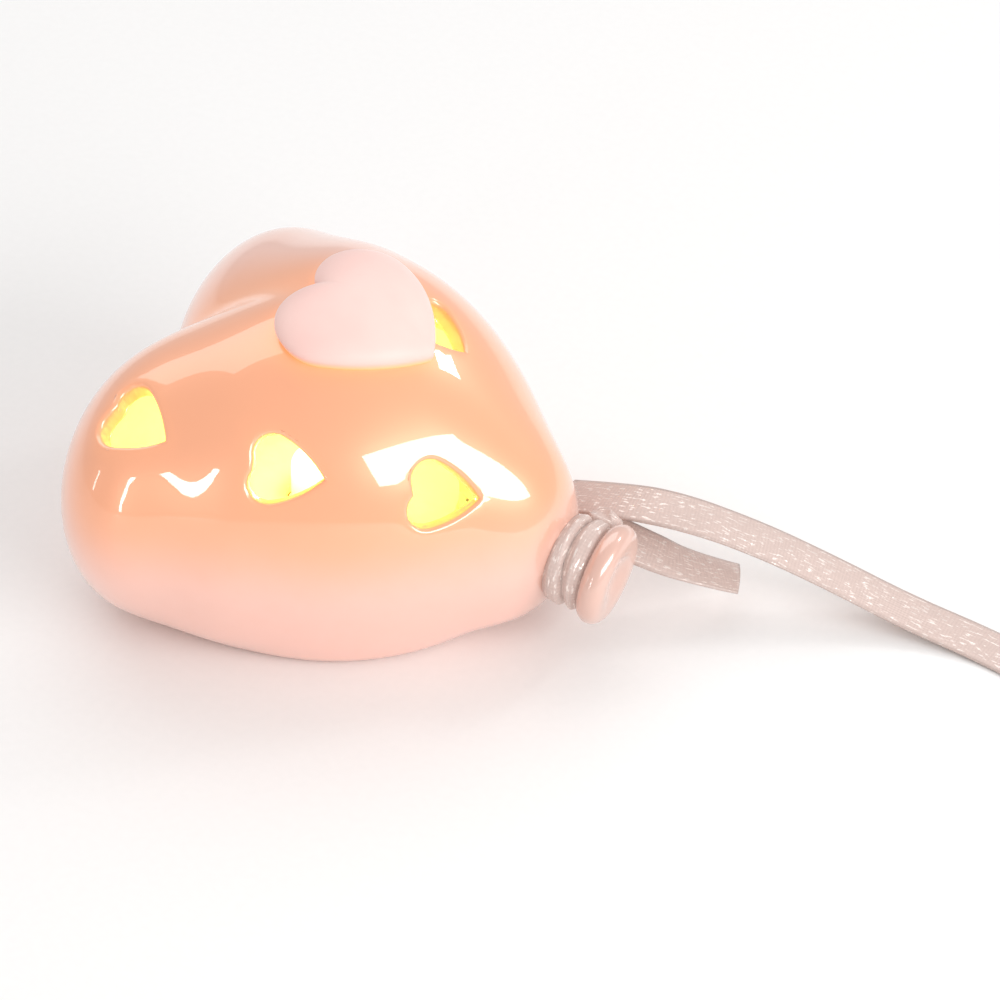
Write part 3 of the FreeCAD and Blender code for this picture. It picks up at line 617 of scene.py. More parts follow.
class HeartForm:
    """The outside of the porcelain heart, as a field that is below zero inside it.

    It is drawn 56.1 mm long from the back, 57.6 wide and 38.9 high, and stretched to the body's
    sizes: two tapering lobes, two round backs and a full middle, joined softly, with a rounded
    underside and a flat foot.
    """

    DRAWN = np.array((56.1, 57.6, 38.9))
    LOBE, LOBE_RADIUS = (17.8, 12.0, 14.7), 13.0
    TIP, TIP_RADIUS = (47.6, 0.0, 12.5), 6.8
    TALLNESS = 1.21
    BACK_LOBE, BACK_AXES = (10.75, 14.5, 15.8), (10.3, 14.0, 15.0)
    MIDDLE, MIDDLE_AXES = (28.4, 0.0, 16.7), (14.9, 16.0, 20.0)
    UNDERSIDE = -3.3
    CENTRE = (26.0, 0, 14.0)
    # How softly the parts run into each other.
    LOBE_SEAM, BACK_SEAM, MIDDLE_SEAM, UNDERSIDE_SEAM = 2.0, 3.3, 22.3, 7.9
    FOOT_SEAM, FOOT_EDGE = 6 * MM, 1.0 * MM

    def __init__(self):
        porcelain = settings()[0]
        sizes = (porcelain.body_length, porcelain.body_width, porcelain.body_height)
        self.stretch = np.array(sizes) / self.DRAWN
        self.hole_radius = RING_HIGH.y - 0.7 * MM
        self.foot_radius = self.hole_radius + porcelain.foot_ring
        self.centre = np.array((BACK, 0, 0)) + np.array(self.CENTRE) * self.stretch
        self.neck_base = Vector((BACK + self.TIP[0] * self.stretch[0], 0, self.TIP[2] * self.stretch[2]))
        droop = porcelain.neck_droop
        self.neck_axis = Vector((math.cos(droop), 0, -math.sin(droop)))
        bead = porcelain.lip_thickness / 2
        rise = (porcelain.lip_radius - bead) * math.sin(droop)
        self.lip_centre = (LIP_FACE - bead - rise - self.neck_base.x) / math.cos(droop)

    def field(self, points):
        drawn = (points - np.array((BACK, 0, 0))) / self.stretch
        drawn[:, 1] = np.abs(drawn[:, 1])
        tall = np.array((1, 1, 1 / self.TALLNESS))
        lobe, tip = np.array(self.LOBE) * tall, np.array(self.TIP) * tall
        sides, backs = [], []
        for mirror in (1, -1):
            q = drawn * np.array((1, mirror, 1))
            sides.append(tapered(q * tall, lobe, self.LOBE_RADIUS, tip, self.TIP_RADIUS))
            backs.append(ellipsoid(q, self.BACK_LOBE, self.BACK_AXES))
        body = soft_min(sides[0], sides[1], self.LOBE_SEAM)
        body = soft_min(body, soft_min(backs[0], backs[1], self.LOBE_SEAM), self.BACK_SEAM)
        body = soft_min(body, ellipsoid(drawn, self.MIDDLE, self.MIDDLE_AXES), self.MIDDLE_SEAM)
        body = -soft_min(-body, drawn[:, 2] - self.UNDERSIDE, self.UNDERSIDE_SEAM) * MM
        off_axis = np.hypot(points[:, 0] - LIGHT_X, points[:, 1])
        foot = np.maximum(off_axis - self.foot_radius, np.abs(points[:, 2] - 2 * MM) - 4 * MM)
        body = soft_min(body, foot, self.FOOT_SEAM)
        return -soft_min(-body, points[:, 2], self.FOOT_EDGE)

    def outward(self, points):
        step = 0.05 * MM
        slope = [self.field(points + d) - self.field(points - d) for d in np.eye(3) * step]
        slope = np.stack(slope, 1)
        return slope / np.linalg.norm(slope, axis=1)[:, None]

    def reach(self, start, direction, far):
        """Where rays leave the heart, from starts inside it."""
        low, high = np.zeros(len(start)), np.full(len(start), far)
        for _ in range(34):
            middle = (low + high) / 2
            inside = self.field(start + direction * middle[:, None]) < 0
            low, high = np.where(inside, middle, low), np.where(inside, high, middle)
        return start + direction * low[:, None]

    def skin(self, directions):
        return self.reach(np.repeat(self.centre[None], len(directions), 0), directions, 0.1)


# ---- outlines on the skin ----
def arc(centre, radius, start, end, count):
    angles = np.linspace(start, end, count)
    return centre + radius * np.stack([np.cos(angles), np.sin(angles)], 1)


def heart_outline(width, length, count=14):
    """A heart about its middle, its tip towards +X: an arc over each lobe and one down each side."""
    lobe, lean = 0.28 * width, math.radians(20)
    centre = np.array((lobe - length / 2, width / 2 - lobe))
    tip = np.array((length / 2, 0.0))
    cleft = math.pi + math.asin(centre[1] / lobe)
    over = arc(centre, lobe, cleft, math.pi / 2 - lean, count)
    inwards = -np.array((math.sin(lean), math.cos(lean)))
    chord = tip - over[-1]
    radius = chord @ chord / (2 * chord @ inwards)
    hub = over[-1] + inwards * radius
    end = math.atan2(tip[1] - hub[1], tip[0] - hub[0])
    down = arc(hub, radius, math.pi / 2 - lean, end, count)
    half = np.vstack([over, down[1:]])
    return np.vstack([half, (half * np.array((1, -1)))[-2:0:-1]])


class Outline:
    """A closed outline laid on the heart: it is flat in the plane at a place, across a direction."""

    def __init__(self, form, at, up, towards, points):
        self.form, self.at, self.up = form, np.array(at), np.array(up)
        side = np.array(towards) - self.up * (np.array(towards) @ self.up)
        self.x = side / np.linalg.norm(side)
        self.y = np.cross(self.up, self.x)
        self.points = points
        self.size = np.abs(points).max()

    def flat(self, places):
        arm = places - self.at
        return np.stack([arm @ self.x, arm @ self.y], 1)

    def drop(self, flat):
        """The skin above or below flat places."""
        depth = 5 * MM
        start = self.at + flat[:, :1] * self.x + flat[:, 1:] * self.y - self.up * depth
        return self.form.reach(start, np.repeat(self.up[None], len(start), 0), 2 * depth)

    def nearest(self, flat):
        """The nearest places on the outline, the ways out from it, and the distances, below zero inside."""
        a = self.points
        b = np.roll(a, -1, 0)
        run = b - a
        arm = flat[:, None] - a
        share = np.clip((arm * run).sum(2) / (run * run).sum(1), 0, 1)
        foot = a + share[..., None] * run
        gap = np.linalg.norm(flat[:, None] - foot, axis=2)
        best = gap.argmin(1)
        rows = np.arange(len(flat))
        crosses = (a[:, 1] > flat[:, 1:]) != (b[:, 1] > flat[:, 1:])
        level = (flat[:, 1:] - a[:, 1]) / np.where(run[:, 1] == 0, 1e-12, run[:, 1])
        inside = (crosses & (flat[:, :1] < a[:, 0] + level * run[:, 0])).sum(1) % 2 == 1
        sign = np.where(inside, -1.0, 1.0)
        closest, distance = foot[rows, best], gap[rows, best]
        away = (flat - closest) * sign[:, None] / np.maximum(distance, 1e-9)[:, None]
        along = run[best] / np.linalg.norm(run[best], axis=1)[:, None]
        across = np.stack([along[:, 1], -along[:, 0]], 1)
        across *= np.sign((across * closest).sum(1))[:, None]
        away = np.where(distance[:, None] > 0.01 * MM, away, across)
        return closest, away, distance * sign

    def near(self, places):
        """Which places lie over or just round the outline."""
        arm = places - self.at
        wide = (np.abs(self.flat(places)) < self.size + 2 * MM).all(1)
        return wide & (np.abs(arm @ self.up) < 6 * MM)


def pierced_outlines(form):
    """The hearts through the wall: three on each side, their tips towards the neck, and one on top."""
    porcelain = settings()[0]
    places = [(-123.5, 32.0, -14.0, 1.0), (-78.0, 35.0, 4.0, 1.0), (-29.5, 24.5, 10.0, 1.0)]
    places += [(123.5, 22.0, 14.0, 1.0), (78.0, 29.0, -4.0, 1.0), (43.0, 13.0, -10.0, 1.0)]
    places.append((16.5, 60.0, 0.0, 0.88))
    outlines = []
    for azimuth, height, twist, scale in places:
        at = form.skin(np.array([bearing(azimuth, height)]))
        up = form.outward(at)[0]
        side = Vector(np.array((1.0, 0, 0)) - up * up[0]).normalized()
        side.rotate(Matrix.Rotation(math.radians(twist), 3, Vector(up)))
        points = heart_outline(porcelain.pierced_width * scale, porcelain.pierced_length * scale)
        outlines.append(Outline(form, at[0], up, side, points))
    return outlines


def raised_outline(form):
    porcelain = settings()[0]
    points = heart_outline(porcelain.raised_width, porcelain.raised_length, 28)
    angle = porcelain.raised_turn
    towards = (math.cos(angle), math.sin(angle), 0)
    start = (porcelain.raised_x, porcelain.raised_y, 20 * MM)
    at = form.reach(np.array([start]), np.array([(0.0, 0.0, 1.0)]), 0.04)
    return Outline(form, at[0], (0, 0, 1), towards, points)


# ---- making pieces ----
def piece(name, bm, material, body="lamp", slot=None, replaced=()):
    """A finished object from a bmesh, at the origin, riding on its body."""
    mesh = bpy.data.meshes.new(name)
    bm.to_mesh(mesh)
    bm.free()
    for face in mesh.polygons:
        face.use_smooth = True
    made = bpy.data.objects.new(name, mesh)
    bpy.context.scene.collection.objects.link(made)
    for one in material if isinstance(material, list) else [material]:
        mesh.materials.append(one)
    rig.ride(made, body)
    if slot:
        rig.slot(made, slot)
    if replaced:
        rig.replaces(made, *replaced)
    return made


def modifier(made, kind, **choices):
    added = made.modifiers.new(kind.title(), kind)
    for name, value in choices.items():
        setattr(added, name, value)


def lay_cloth(bm, spots):
    """Writes each vertex's place on the cloth, along and across it in metres, as its UV."""
    cloth = bm.loops.layers.uv.new("cloth")
    for face in bm.faces:
        for loop in face.loops:
            loop[cloth].uv = spots[loop.vert]


def array_of(verts):
    return np.array([v.co for v in verts], float).reshape(-1, 3)


def put(verts, places):
    for vert, place in zip(verts, places):
        vert.co = place


def boundary(bm, outline, reach):
    """The open edges that lie round an outline."""
    edges = [e for e in bm.edges if e.is_boundary]
    middle = np.array([(e.verts[0].co + e.verts[1].co) / 2 for e in edges])
    kept = outline.near(middle)
    distance = outline.nearest(outline.flat(middle))[2]
    return [e for e, k, d in zip(edges, kept, distance) if k and abs(d - reach) < 0.6 * MM]


def extruded(bm, edges, rings):
    """Extrudes an open loop through rings of places: each ring gives a place for each of its vertices."""
    verts = list({v for e in edges for v in e.verts})
    index = {v: i for i, v in enumerate(verts)}
    for ring in rings(verts):
        made = bmesh.ops.extrude_edge_only(bm, edges=edges)["geom"]
        edges = [g for g in made if isinstance(g, bmesh.types.BMEdge) and g.is_boundary]
        fresh = {}
        for vert in [g for g in made if isinstance(g, bmesh.types.BMVert)]:
            below = next(e.other_vert(vert) for e in vert.link_edges if e.other_vert(vert) in index)
            fresh[vert] = index[below]
            vert.co = ring[index[below]]
        index = fresh
    return edges


def snap(bm, faces, outline, reach, band=0.3 * MM):
    """Draws the faces' vertices near an outline, grown by reach, onto it, and deletes what is within it."""
    verts = list({v for f in faces for v in f.verts})
    places = array_of(verts)
    rows = np.nonzero(outline.near(places))[0]
    closest, away, distance = outline.nearest(outline.flat(places[rows]))
    close = np.abs(distance - reach) < band
    put([verts[i] for i in rows[close]], outline.drop(closest[close] + away[close] * reach))
    near = {verts[i] for i in rows}
    faces = [f for f in faces if all(v in near for v in f.verts)]
    middles = np.array([f.calc_center_median() for f in faces])
    within = outline.nearest(outline.flat(middles))[2] < reach
    bmesh.ops.delete(bm, geom=[f for f, w in zip(faces, within) if w], context="FACES")


def even(bm, outline, reach):
    """Moves every vertex on the edge of a hole onto its outline."""
    verts = list({v for e in boundary(bm, outline, reach) for v in e.verts})
    closest, away, _ = outline.nearest(outline.flat(array_of(verts)))
    put(verts, outline.drop(closest + away * reach))


def balloon_mesh(form):
    """The hollow heart with its pierced hearts, its base hole, and its neck and rolled lip."""
    porcelain = settings()[0]
    wall = porcelain.wall
    bm = bmesh.new()
    bmesh.ops.create_icosphere(bm, subdivisions=porcelain.fineness, radius=1.0)
    verts = list(bm.verts)
    directions = array_of(verts)
    directions /= np.linalg.norm(directions, axis=1)[:, None]
    put(verts, form.skin(directions))

    def inside(places, normals):
        inner = places - normals * wall
        inner[:, 2] = np.maximum(inner[:, 2], porcelain.floor)
        return inner

    hearts = pierced_outlines(form)
    circle = arc(np.zeros(2), form.hole_radius, 0, 2 * math.pi * 89 / 90, 90)
    base = Outline(form, (LIGHT_X, 0, 0), (0, 0, -1), (1, 0, 0), circle)
    holes = [(outline, porcelain.rim_round) for outline in hearts] + [(base, 0.3 * MM)]
    for outline, reach in holes:
        snap(bm, list(bm.faces), outline, reach)
        even(bm, outline, reach)

    outer_faces = list(bm.faces)
    outer_verts = list(bm.verts)
    outer_places = array_of(outer_verts)
    copied = bmesh.ops.duplicate(bm, geom=outer_verts + list(bm.edges) + outer_faces)
    inner_of = copied["vert_map"]
    put([inner_of[v] for v in outer_verts], inside(outer_places, form.outward(outer_places)))
    inner_faces = [g for g in copied["geom"] if isinstance(g, bmesh.types.BMFace)]
    bmesh.ops.reverse_faces(bm, faces=inner_faces)
    for face in inner_faces:
        face.material_index = 1
    outer_edges = {e for f in outer_faces for e in f.edges}
    for outline, reach in holes:
        edges = [e for e in boundary(bm, outline, reach) if e in outer_edges]
        extruded(bm, edges, rim_rings(form, outline, reach, wall, inside))
    neck_and_lip(bm, form, outer_faces)
    bmesh.ops.remove_doubles(bm, verts=list(bm.verts), dist=2e-6)
    bmesh.ops.dissolve_degenerate(bm, edges=list(bm.edges), dist=1e-7)
    return bm, hearts


def rim_rings(form, outline, reach, depth, inside):
    """The rings that round the edge of a hole over both its lips, down to the inner skin."""

    def rings(verts):
        start = array_of(verts)
        closest, away, _ = outline.nearest(outline.flat(start))
        steps = 4
        angles = [math.pi / 2 * i / steps for i in range(1, steps + 1)]
        path = [(reach * (1 - math.sin(a)), reach * (1 - math.cos(a))) for a in angles]
        path.append((0.0, depth / 2))
        path += [(grown, depth - sunk) for grown, sunk in path[steps - 1 :: -1]]
        for grown, sunk in path:
            places = outline.drop(closest + away * grown)
            yield places - form.outward(places) * sunk
        yield inside(start, form.outward(start))

    return rings


def neck_and_lip(bm, form, outer_faces):
    """Opens the heart's tip and draws the opening out into the neck and its rolled lip."""
    porcelain = settings()[0]
    radius, lip, bead = porcelain.neck_radius, porcelain.lip_radius, porcelain.lip_thickness / 2
    axis, base, centre = form.neck_axis, form.neck_base, form.lip_centre
    root = form.reach(np.array([base]), np.array([axis]), 0.02)[0]
    circle = arc(np.zeros(2), radius + 0.4 * MM, 0, 2 * math.pi * 59 / 60, 60)
    opening = Outline(form, root, axis, (0, 0, 1), circle)
    snap(bm, outer_faces, opening, 0.0, 0.25 * MM)
    edges = [e for e in boundary(bm, opening, 0.0) if e.link_faces[0].material_index == 0]
    start = ((opening.drop(circle) - np.array(base)) @ np.array(axis)).min()
    profile = [(start + 0.5 * MM, radius + 0.12 * MM), (start + 1.1 * MM, radius)]
    profile += [(centre - bead - 0.9 * MM, radius), (centre - bead - 0.2 * MM, radius + 0.25 * MM)]
    for degrees in range(10, 190, 15):
        a = math.radians(degrees)
        profile.append((centre - bead * math.cos(a), lip - bead + bead * math.sin(a)))
    face = centre + bead
    profile += [(face - 0.02 * MM, lip - bead - 0.7 * MM), (face - 0.15 * MM, 2.9 * MM)]
    profile += [(face - 0.55 * MM, 1.9 * MM), (face - 0.75 * MM, 1.1 * MM), (face - 0.8 * MM, 0.4 * MM)]

    def rings(ring_verts):
        flat = opening.flat(array_of(ring_verts))
        way = flat / np.linalg.norm(flat, axis=1)[:, None]
        way = way[:, :1] * opening.x + way[:, 1:] * opening.y
        for along, wide in profile:
            yield np.array(base + axis * along) + way * wide

    last = extruded(bm, edges, rings)
    bmesh.ops.holes_fill(bm, edges=last, sides=0)


def paint_shell(made, form, hearts, raised):
    """Writes where the lamp's light is painted into the glaze, where the glaze is pale, and where painted glow lies
    round the holes, the raised heart and the cleft, for the material to read.
    """
    mesh = made.data
    places = array_of(mesh.vertices)

    def smooth(value, low, high):
        t = np.clip((value - low) / (high - low), 0, 1)
        return t * t * (3 - 2 * t)

    # Painted glow of the lamp through the wall: stronger higher up, weaker on the far lobe and at the back.
    height = smooth(places[:, 2], 9 * MM, 24 * MM)
    far_lobe = smooth(places[:, 1], 1 * MM, 12 * MM) * smooth(-places[:, 0], -2 * MM, 8 * MM)
    warmth = height * (1 - 0.75 * far_lobe)
    back = smooth(-places[:, 0], 20 * MM, 31 * MM)
    warmth *= 1 - 0.6 * back
    # Painted glow round the pierced hearts, round the raised heart and along the cleft between the lobes.
    ember = np.zeros(len(places))
    for outline in hearts:
        rows = np.nonzero(outline.near(places))[0]
        distance = outline.nearest(outline.flat(places[rows]))[2]
        ember[rows] = np.maximum(ember[rows], 0.32 * np.exp(-np.maximum(distance, 0) / (0.8 * MM)))
    rows = np.nonzero(raised.near(places) & (places[:, 2] > 20 * MM))[0]
    distance = raised.nearest(raised.flat(places[rows]))[2]
    close = np.exp(-np.maximum(distance, 0) / (0.9 * MM))
    ember[rows] = np.maximum(ember[rows], 0.85 * close)
    cleft = np.exp(-((places[:, 1] / (2.2 * MM)) ** 2)) * smooth(-places[:, 0], 3 * MM, 9 * MM)
    ember = np.maximum(ember, 0.35 * cleft * smooth(places[:, 2], 16 * MM, 26 * MM))
    along = (places - np.array(form.neck_base)) @ np.array(form.neck_axis)
    paleness = smooth(along, 5 * MM, 8.5 * MM)
    for name, values in {"warmth": warmth, "ember": ember, "paleness": paleness}.items():
        layer = mesh.attributes.new(name, "FLOAT", "POINT")
        layer.data.foreach_set("value", values.astype(np.float32))


def raised_mesh(form, outline):
    """A puffed pillow over the outline: rings from its crown to its edge, and down into the glaze."""
    porcelain = settings()[0]
    tall = porcelain.raised_height
    bm = bmesh.new()
    bmesh.ops.create_uvsphere(bm, u_segments=160, v_segments=40, radius=1.0)
    verts = list(bm.verts)
    ball = array_of(verts)
    middle = np.array((0.6 * MM, 0.0))
    angle = np.arctan2(ball[:, 1], ball[:, 0])
    edge = outline.points - middle
    bearings = np.arctan2(edge[:, 1], edge[:, 0])
    reach = np.interp(angle, bearings, np.linalg.norm(edge, axis=1), period=2 * math.pi)
    outwards = np.linalg.norm(ball[:, :2], axis=1)
    level = ball[:, 2]
    under = np.where(outwards > 0.5, 1 + 0.06 * level, outwards * 1.9)
    share = np.where(level > 0, outwards ** 0.86, under)
    flat = middle + (reach * share)[:, None] * np.stack([np.cos(angle), np.sin(angle)], 1)
    base = outline.drop(flat)
    lift = tall * (0.38 + np.where(level > 0, 0.62 * np.abs(level) ** 0.62, 0.55 * level))
    places = base + np.array((0, 0, 1.0)) * lift[:, None]
    put(verts, places)
    bmesh.ops.recalc_face_normals(bm, faces=list(bm.faces))
    return bm


def route_line(name, points):
    """The smooth line of a route: a NURBS spline with the route's points as its control points."""
    curve = bpy.data.curves.new(name, "CURVE")
    curve.dimensions = "3D"
    curve.resolution_u = 14
    spline = curve.splines.new("NURBS")
    spline.points.add(len(points) - 1)
    for point, place in zip(spline.points, points):
        point.co = (*place, 1.0)
    spline.order_u = 3
    spline.use_endpoint_u = True
    holder = bpy.data.objects.new(name, curve)
    bpy.context.scene.collection.objects.link(holder)
    depsgraph = bpy.context.evaluated_depsgraph_get()
    line = bpy.data.meshes.new_from_object(holder.evaluated_get(depsgraph))
    places = [v.co.copy() for v in line.vertices]
    bpy.data.objects.remove(holder)
    bpy.data.curves.remove(curve)
    bpy.data.meshes.remove(line)
    return places


# The routes of the two tails, from the knot outwards.
LONG_ROUTE = [
    (17.4 * MM, 13.2 * MM, 8.7 * MM),
    (25.8 * MM, 11.4 * MM, 12.3 * MM),
    (33.8 * MM, 13.0 * MM, 12.0 * MM),
    (42.0 * MM, 15.9 * MM, 8.9 * MM),
    (50.5 * MM, 18.2 * MM, 5.2 * MM),
    (59.0 * MM, 19.6 * MM, 1.9 * MM),
    (67.5 * MM, 19.9 * MM, 0.45 * MM),
    (75.5 * MM, 18.3 * MM, 0.3 * MM),
    (83.0 * MM, 14.9 * MM, 0.3 * MM),
    (89.0 * MM, 9.6 * MM, 0.3 * MM),
    (93.0 * MM, 2.8 * MM, 0.3 * MM),
    (94.6 * MM, -4.8 * MM, 0.3 * MM),
]
SHORT_ROUTE = [
    (26.2 * MM, 8.2 * MM, 9.6 * MM),
    (31.2 * MM, 8.6 * MM, 8.4 * MM),
    (35.9 * MM, 10.7 * MM, 6.2 * MM),
    (40.0 * MM, 14.2 * MM, 3.6 * MM),
]


def tail(name, route, start_tilt, flat_by, slant, curl):
    """A satin strip along a route: tilted at its start, flat by a share of its length, cut at a slant."""
    ribbon = settings()[1]
    line = route_line(name, route)
    count = len(line) - 1
    runs = [0.0]
    for a, b in zip(line, line[1:]):
        runs.append(runs[-1] + (b - a).length)
    whole = runs[-1]
    bm = bmesh.new()
    across = 14
    bmesh.ops.create_grid(bm, x_segments=count, y_segments=across, size=0.5)
    spots = {}
    for vert in bm.verts:
        i = round((vert.co.x + 0.5) * count)
        share = vert.co.y
        spots[vert] = (runs[i], share * ribbon.width)
        forwards = (line[min(i + 1, count)] - line[max(i - 1, 0)]).normalized()
        level = Vector((0, 0, 1)).cross(forwards).normalized()
        face = forwards.cross(level)
        part = min(runs[i] / (whole * flat_by), 1.0)
        tilt = start_tilt * (1 - part * part * (3 - 2 * part))
        side = level * math.cos(tilt) + face * math.sin(tilt)
        front = face * math.cos(tilt) - level * math.sin(tilt)
        late = max(0.0, (runs[i] - whole + 2.5 * MM) / (2.5 * MM))
        pull = forwards * (slant * share * late)
        bow = front * (curl * (1 - 4 * share * share))
        vert.co = line[i] + side * (share * ribbon.width) + bow + pull
    lay_cloth(bm, spots)
    made = piece(name, bm, bpy.data.materials["woven_satin"], slot="satin")
    modifier(made, "SOLIDIFY", thickness=ribbon.thickness, offset=0.0, use_even_offset=True)
    return made, line


def look_at(where, target, up_hint):
    """The turn that points an object's -Z from where to target, its +Y nearest to up_hint."""
    back = (Vector(where) - Vector(target)).normalized()
    right = Vector(up_hint).cross(back).normalized()
    up = back.cross(right)
    return Matrix((right, up, back)).transposed()


# ---- operators ----
class HEART_LAMP_OT_stage(bpy.types.Operator):
    """Makes the camera, the plain floor and the soft studio lights"""

    bl_idname = "heart_lamp.stage"
    bl_label = "Stage"

    SUBJECT = Vector((-0.69 * MM, 0, 14.7 * MM))
    AIM_RIGHT, AIM_DOWN = 14.7 * MM, 3.14 * MM
    # Where each softbox stands: azimuth, height, distance, width, height of its face, brightness.
    SOFTBOXES = {
        "front_softbox": (-17.0, 26.0, 0.40, 0.36, 0.125, 6.5),
        "left_softbox": (-99.5, 12.0, 0.40, 0.017, 0.17, 10.0),
        "small_softbox": (54.0, 34.0, 0.40, 0.06, 0.05, 12.0),
        "far_softbox": (128.0, 52.0, 0.60, 0.70, 0.45, 1.2),
        "left_strip": (-140.0, 8.0, 0.45, 0.018, 0.10, 5.0),
    }

    def execute(self, context):
        stage = settings()[3]
        self.camera(context, stage)
        self.ground(stage)
        world = bpy.data.worlds.new("room")
        world.use_nodes = True
        backdrop = next(n for n in world.node_tree.nodes if n.type == "BACKGROUND")
        backdrop.inputs["Color"].default_value = (1.0, 0.99, 0.985, 1.0)
        backdrop.inputs["Strength"].default_value = stage.room
        context.scene.world = world
        context.scene.view_settings.view_transform = "Standard"
        for name, box in self.SOFTBOXES.items():
            self.softbox(context, name, *box)
        return {"FINISHED"}

    def camera(self, context, stage):
        a, e = stage.azimuth, stage.elevation
        back = Vector((math.sin(a) * math.cos(e), -math.cos(a) * math.cos(e), math.sin(e)))
        right = Vector((math.cos(a), math.sin(a), 0))
        up = back.cross(right)
        where = self.SUBJECT + back * stage.distance
        aim = self.SUBJECT + right * self.AIM_RIGHT - up * self.AIM_DOWN
        lens = bpy.data.cameras.new("camera")
        lens.lens = stage.lens
        lens.clip_start = 0.01
        camera = bpy.data.objects.new("camera", lens)
        camera.matrix_world = Matrix.Translation(where) @ look_at(where, aim, up).to_4x4()
        context.scene.collection.objects.link(camera)
        context.scene.camera = camera

    def ground(self, stage):
        bm = bmesh.new()
        bmesh.ops.create_grid(bm, x_segments=8, y_segments=8, size=3.0)
        mesh = bpy.data.meshes.new("floor")
        bm.to_mesh(mesh)
        bm.free()
        mesh.materials.append(paper())
        floor = bpy.data.objects.new("floor", mesh)
        bpy.context.scene.collection.objects.link(floor)
        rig.stage(floor)

    def softbox(self, context, name, azimuth, height, distance, wide, tall, brightness):
        lamp = bpy.data.lights.new(name, "AREA")
        lamp.shape = "RECTANGLE"
        lamp.size = wide
        lamp.size_y = tall
        lamp.energy = brightness * math.pi * wide * tall
        target = Vector((0, 0, 20 * MM))
        where = target + bearing(azimuth, height) * distance
        light = bpy.data.objects.new(name, lamp)
        light.matrix_world = Matrix.Translation(where) @ look_at(where, target, (0, 0, 1)).to_4x4()
        context.scene.collection.objects.link(light)


class HEART_LAMP_OT_tails(bpy.types.Operator):
    """Makes the two loose satin tails that leave the knot"""

    bl_idname = "heart_lamp.tails"
    bl_label = "Ribbon tails"

    def execute(self, context):
        ribbon = settings()[1]
        satin()
        short, _ = tail("ribbon_short_end", SHORT_ROUTE, ribbon.tilt * 0.9, 1.6, 2.2 * MM, 0.35 * MM)
        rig.replaces(short, "ribbon_short_tail")
        tail_piece, line = tail("ribbon_long_end", LONG_ROUTE, ribbon.tilt, 0.62, 1.2 * MM, 0.22 * MM)
        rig.replaces(tail_piece, "ribbon_long_tail")
        whole = sum((b - a).length for a, b in zip(line, line[1:]))
        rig.cord(
            tail_piece,
            exit=LONG_ROUTE[0],
            length=round(whole, 4),
            diameter=ribbon.width,
            far_end="bare",
            stiffness="limp",
            lay="loose",
            path=line,
            with_pieces=[short],
        )
        return {"FINISHED"}


class HEART_LAMP_OT_balloon(bpy.types.Operator):
    """Makes the hollow porcelain heart with its pierced hearts, neck and lip"""

    bl_idname = "heart_lamp.balloon"
    bl_label = "Porcelain balloon"

    def execute(self, context):
        form = HeartForm()
        bm, hearts = balloon_mesh(form)
        shell = piece("heart_balloon", bm, [lustre_glaze(), lit_wall()], slot="pearl_glaze",
                      replaced=("balloon_shell",))
        paint_shell(shell, form, hearts, raised_outline(form))
        return {"FINISHED"}


class HEART_LAMP_OT_raised(bpy.types.Operator):
    """Makes the puffed heart on top"""

    bl_idname = "heart_lamp.raised"
    bl_label = "Raised heart"

    def execute(self, context):
        form = HeartForm()
        outline = raised_outline(form)
        made = piece("puffed_heart", raised_mesh(form, outline), bisque(), slot="matte_porcelain",
                     replaced=("raised_heart",))
        places = array_of(made.data.vertices)
        skin = outline.drop(outline.flat(places))
        # Painted glow low on the raised heart's sides, fading over its lowest 0.9 mm.
        lift = places[:, 2] - skin[:, 2]
        ember = np.clip(1 - lift / (0.9 * MM), 0, 1)
        layer = made.data.attributes.new("ember", "FLOAT", "POINT")
        layer.data.foreach_set("value", ember.astype(np.float32))
        return {"FINISHED"}


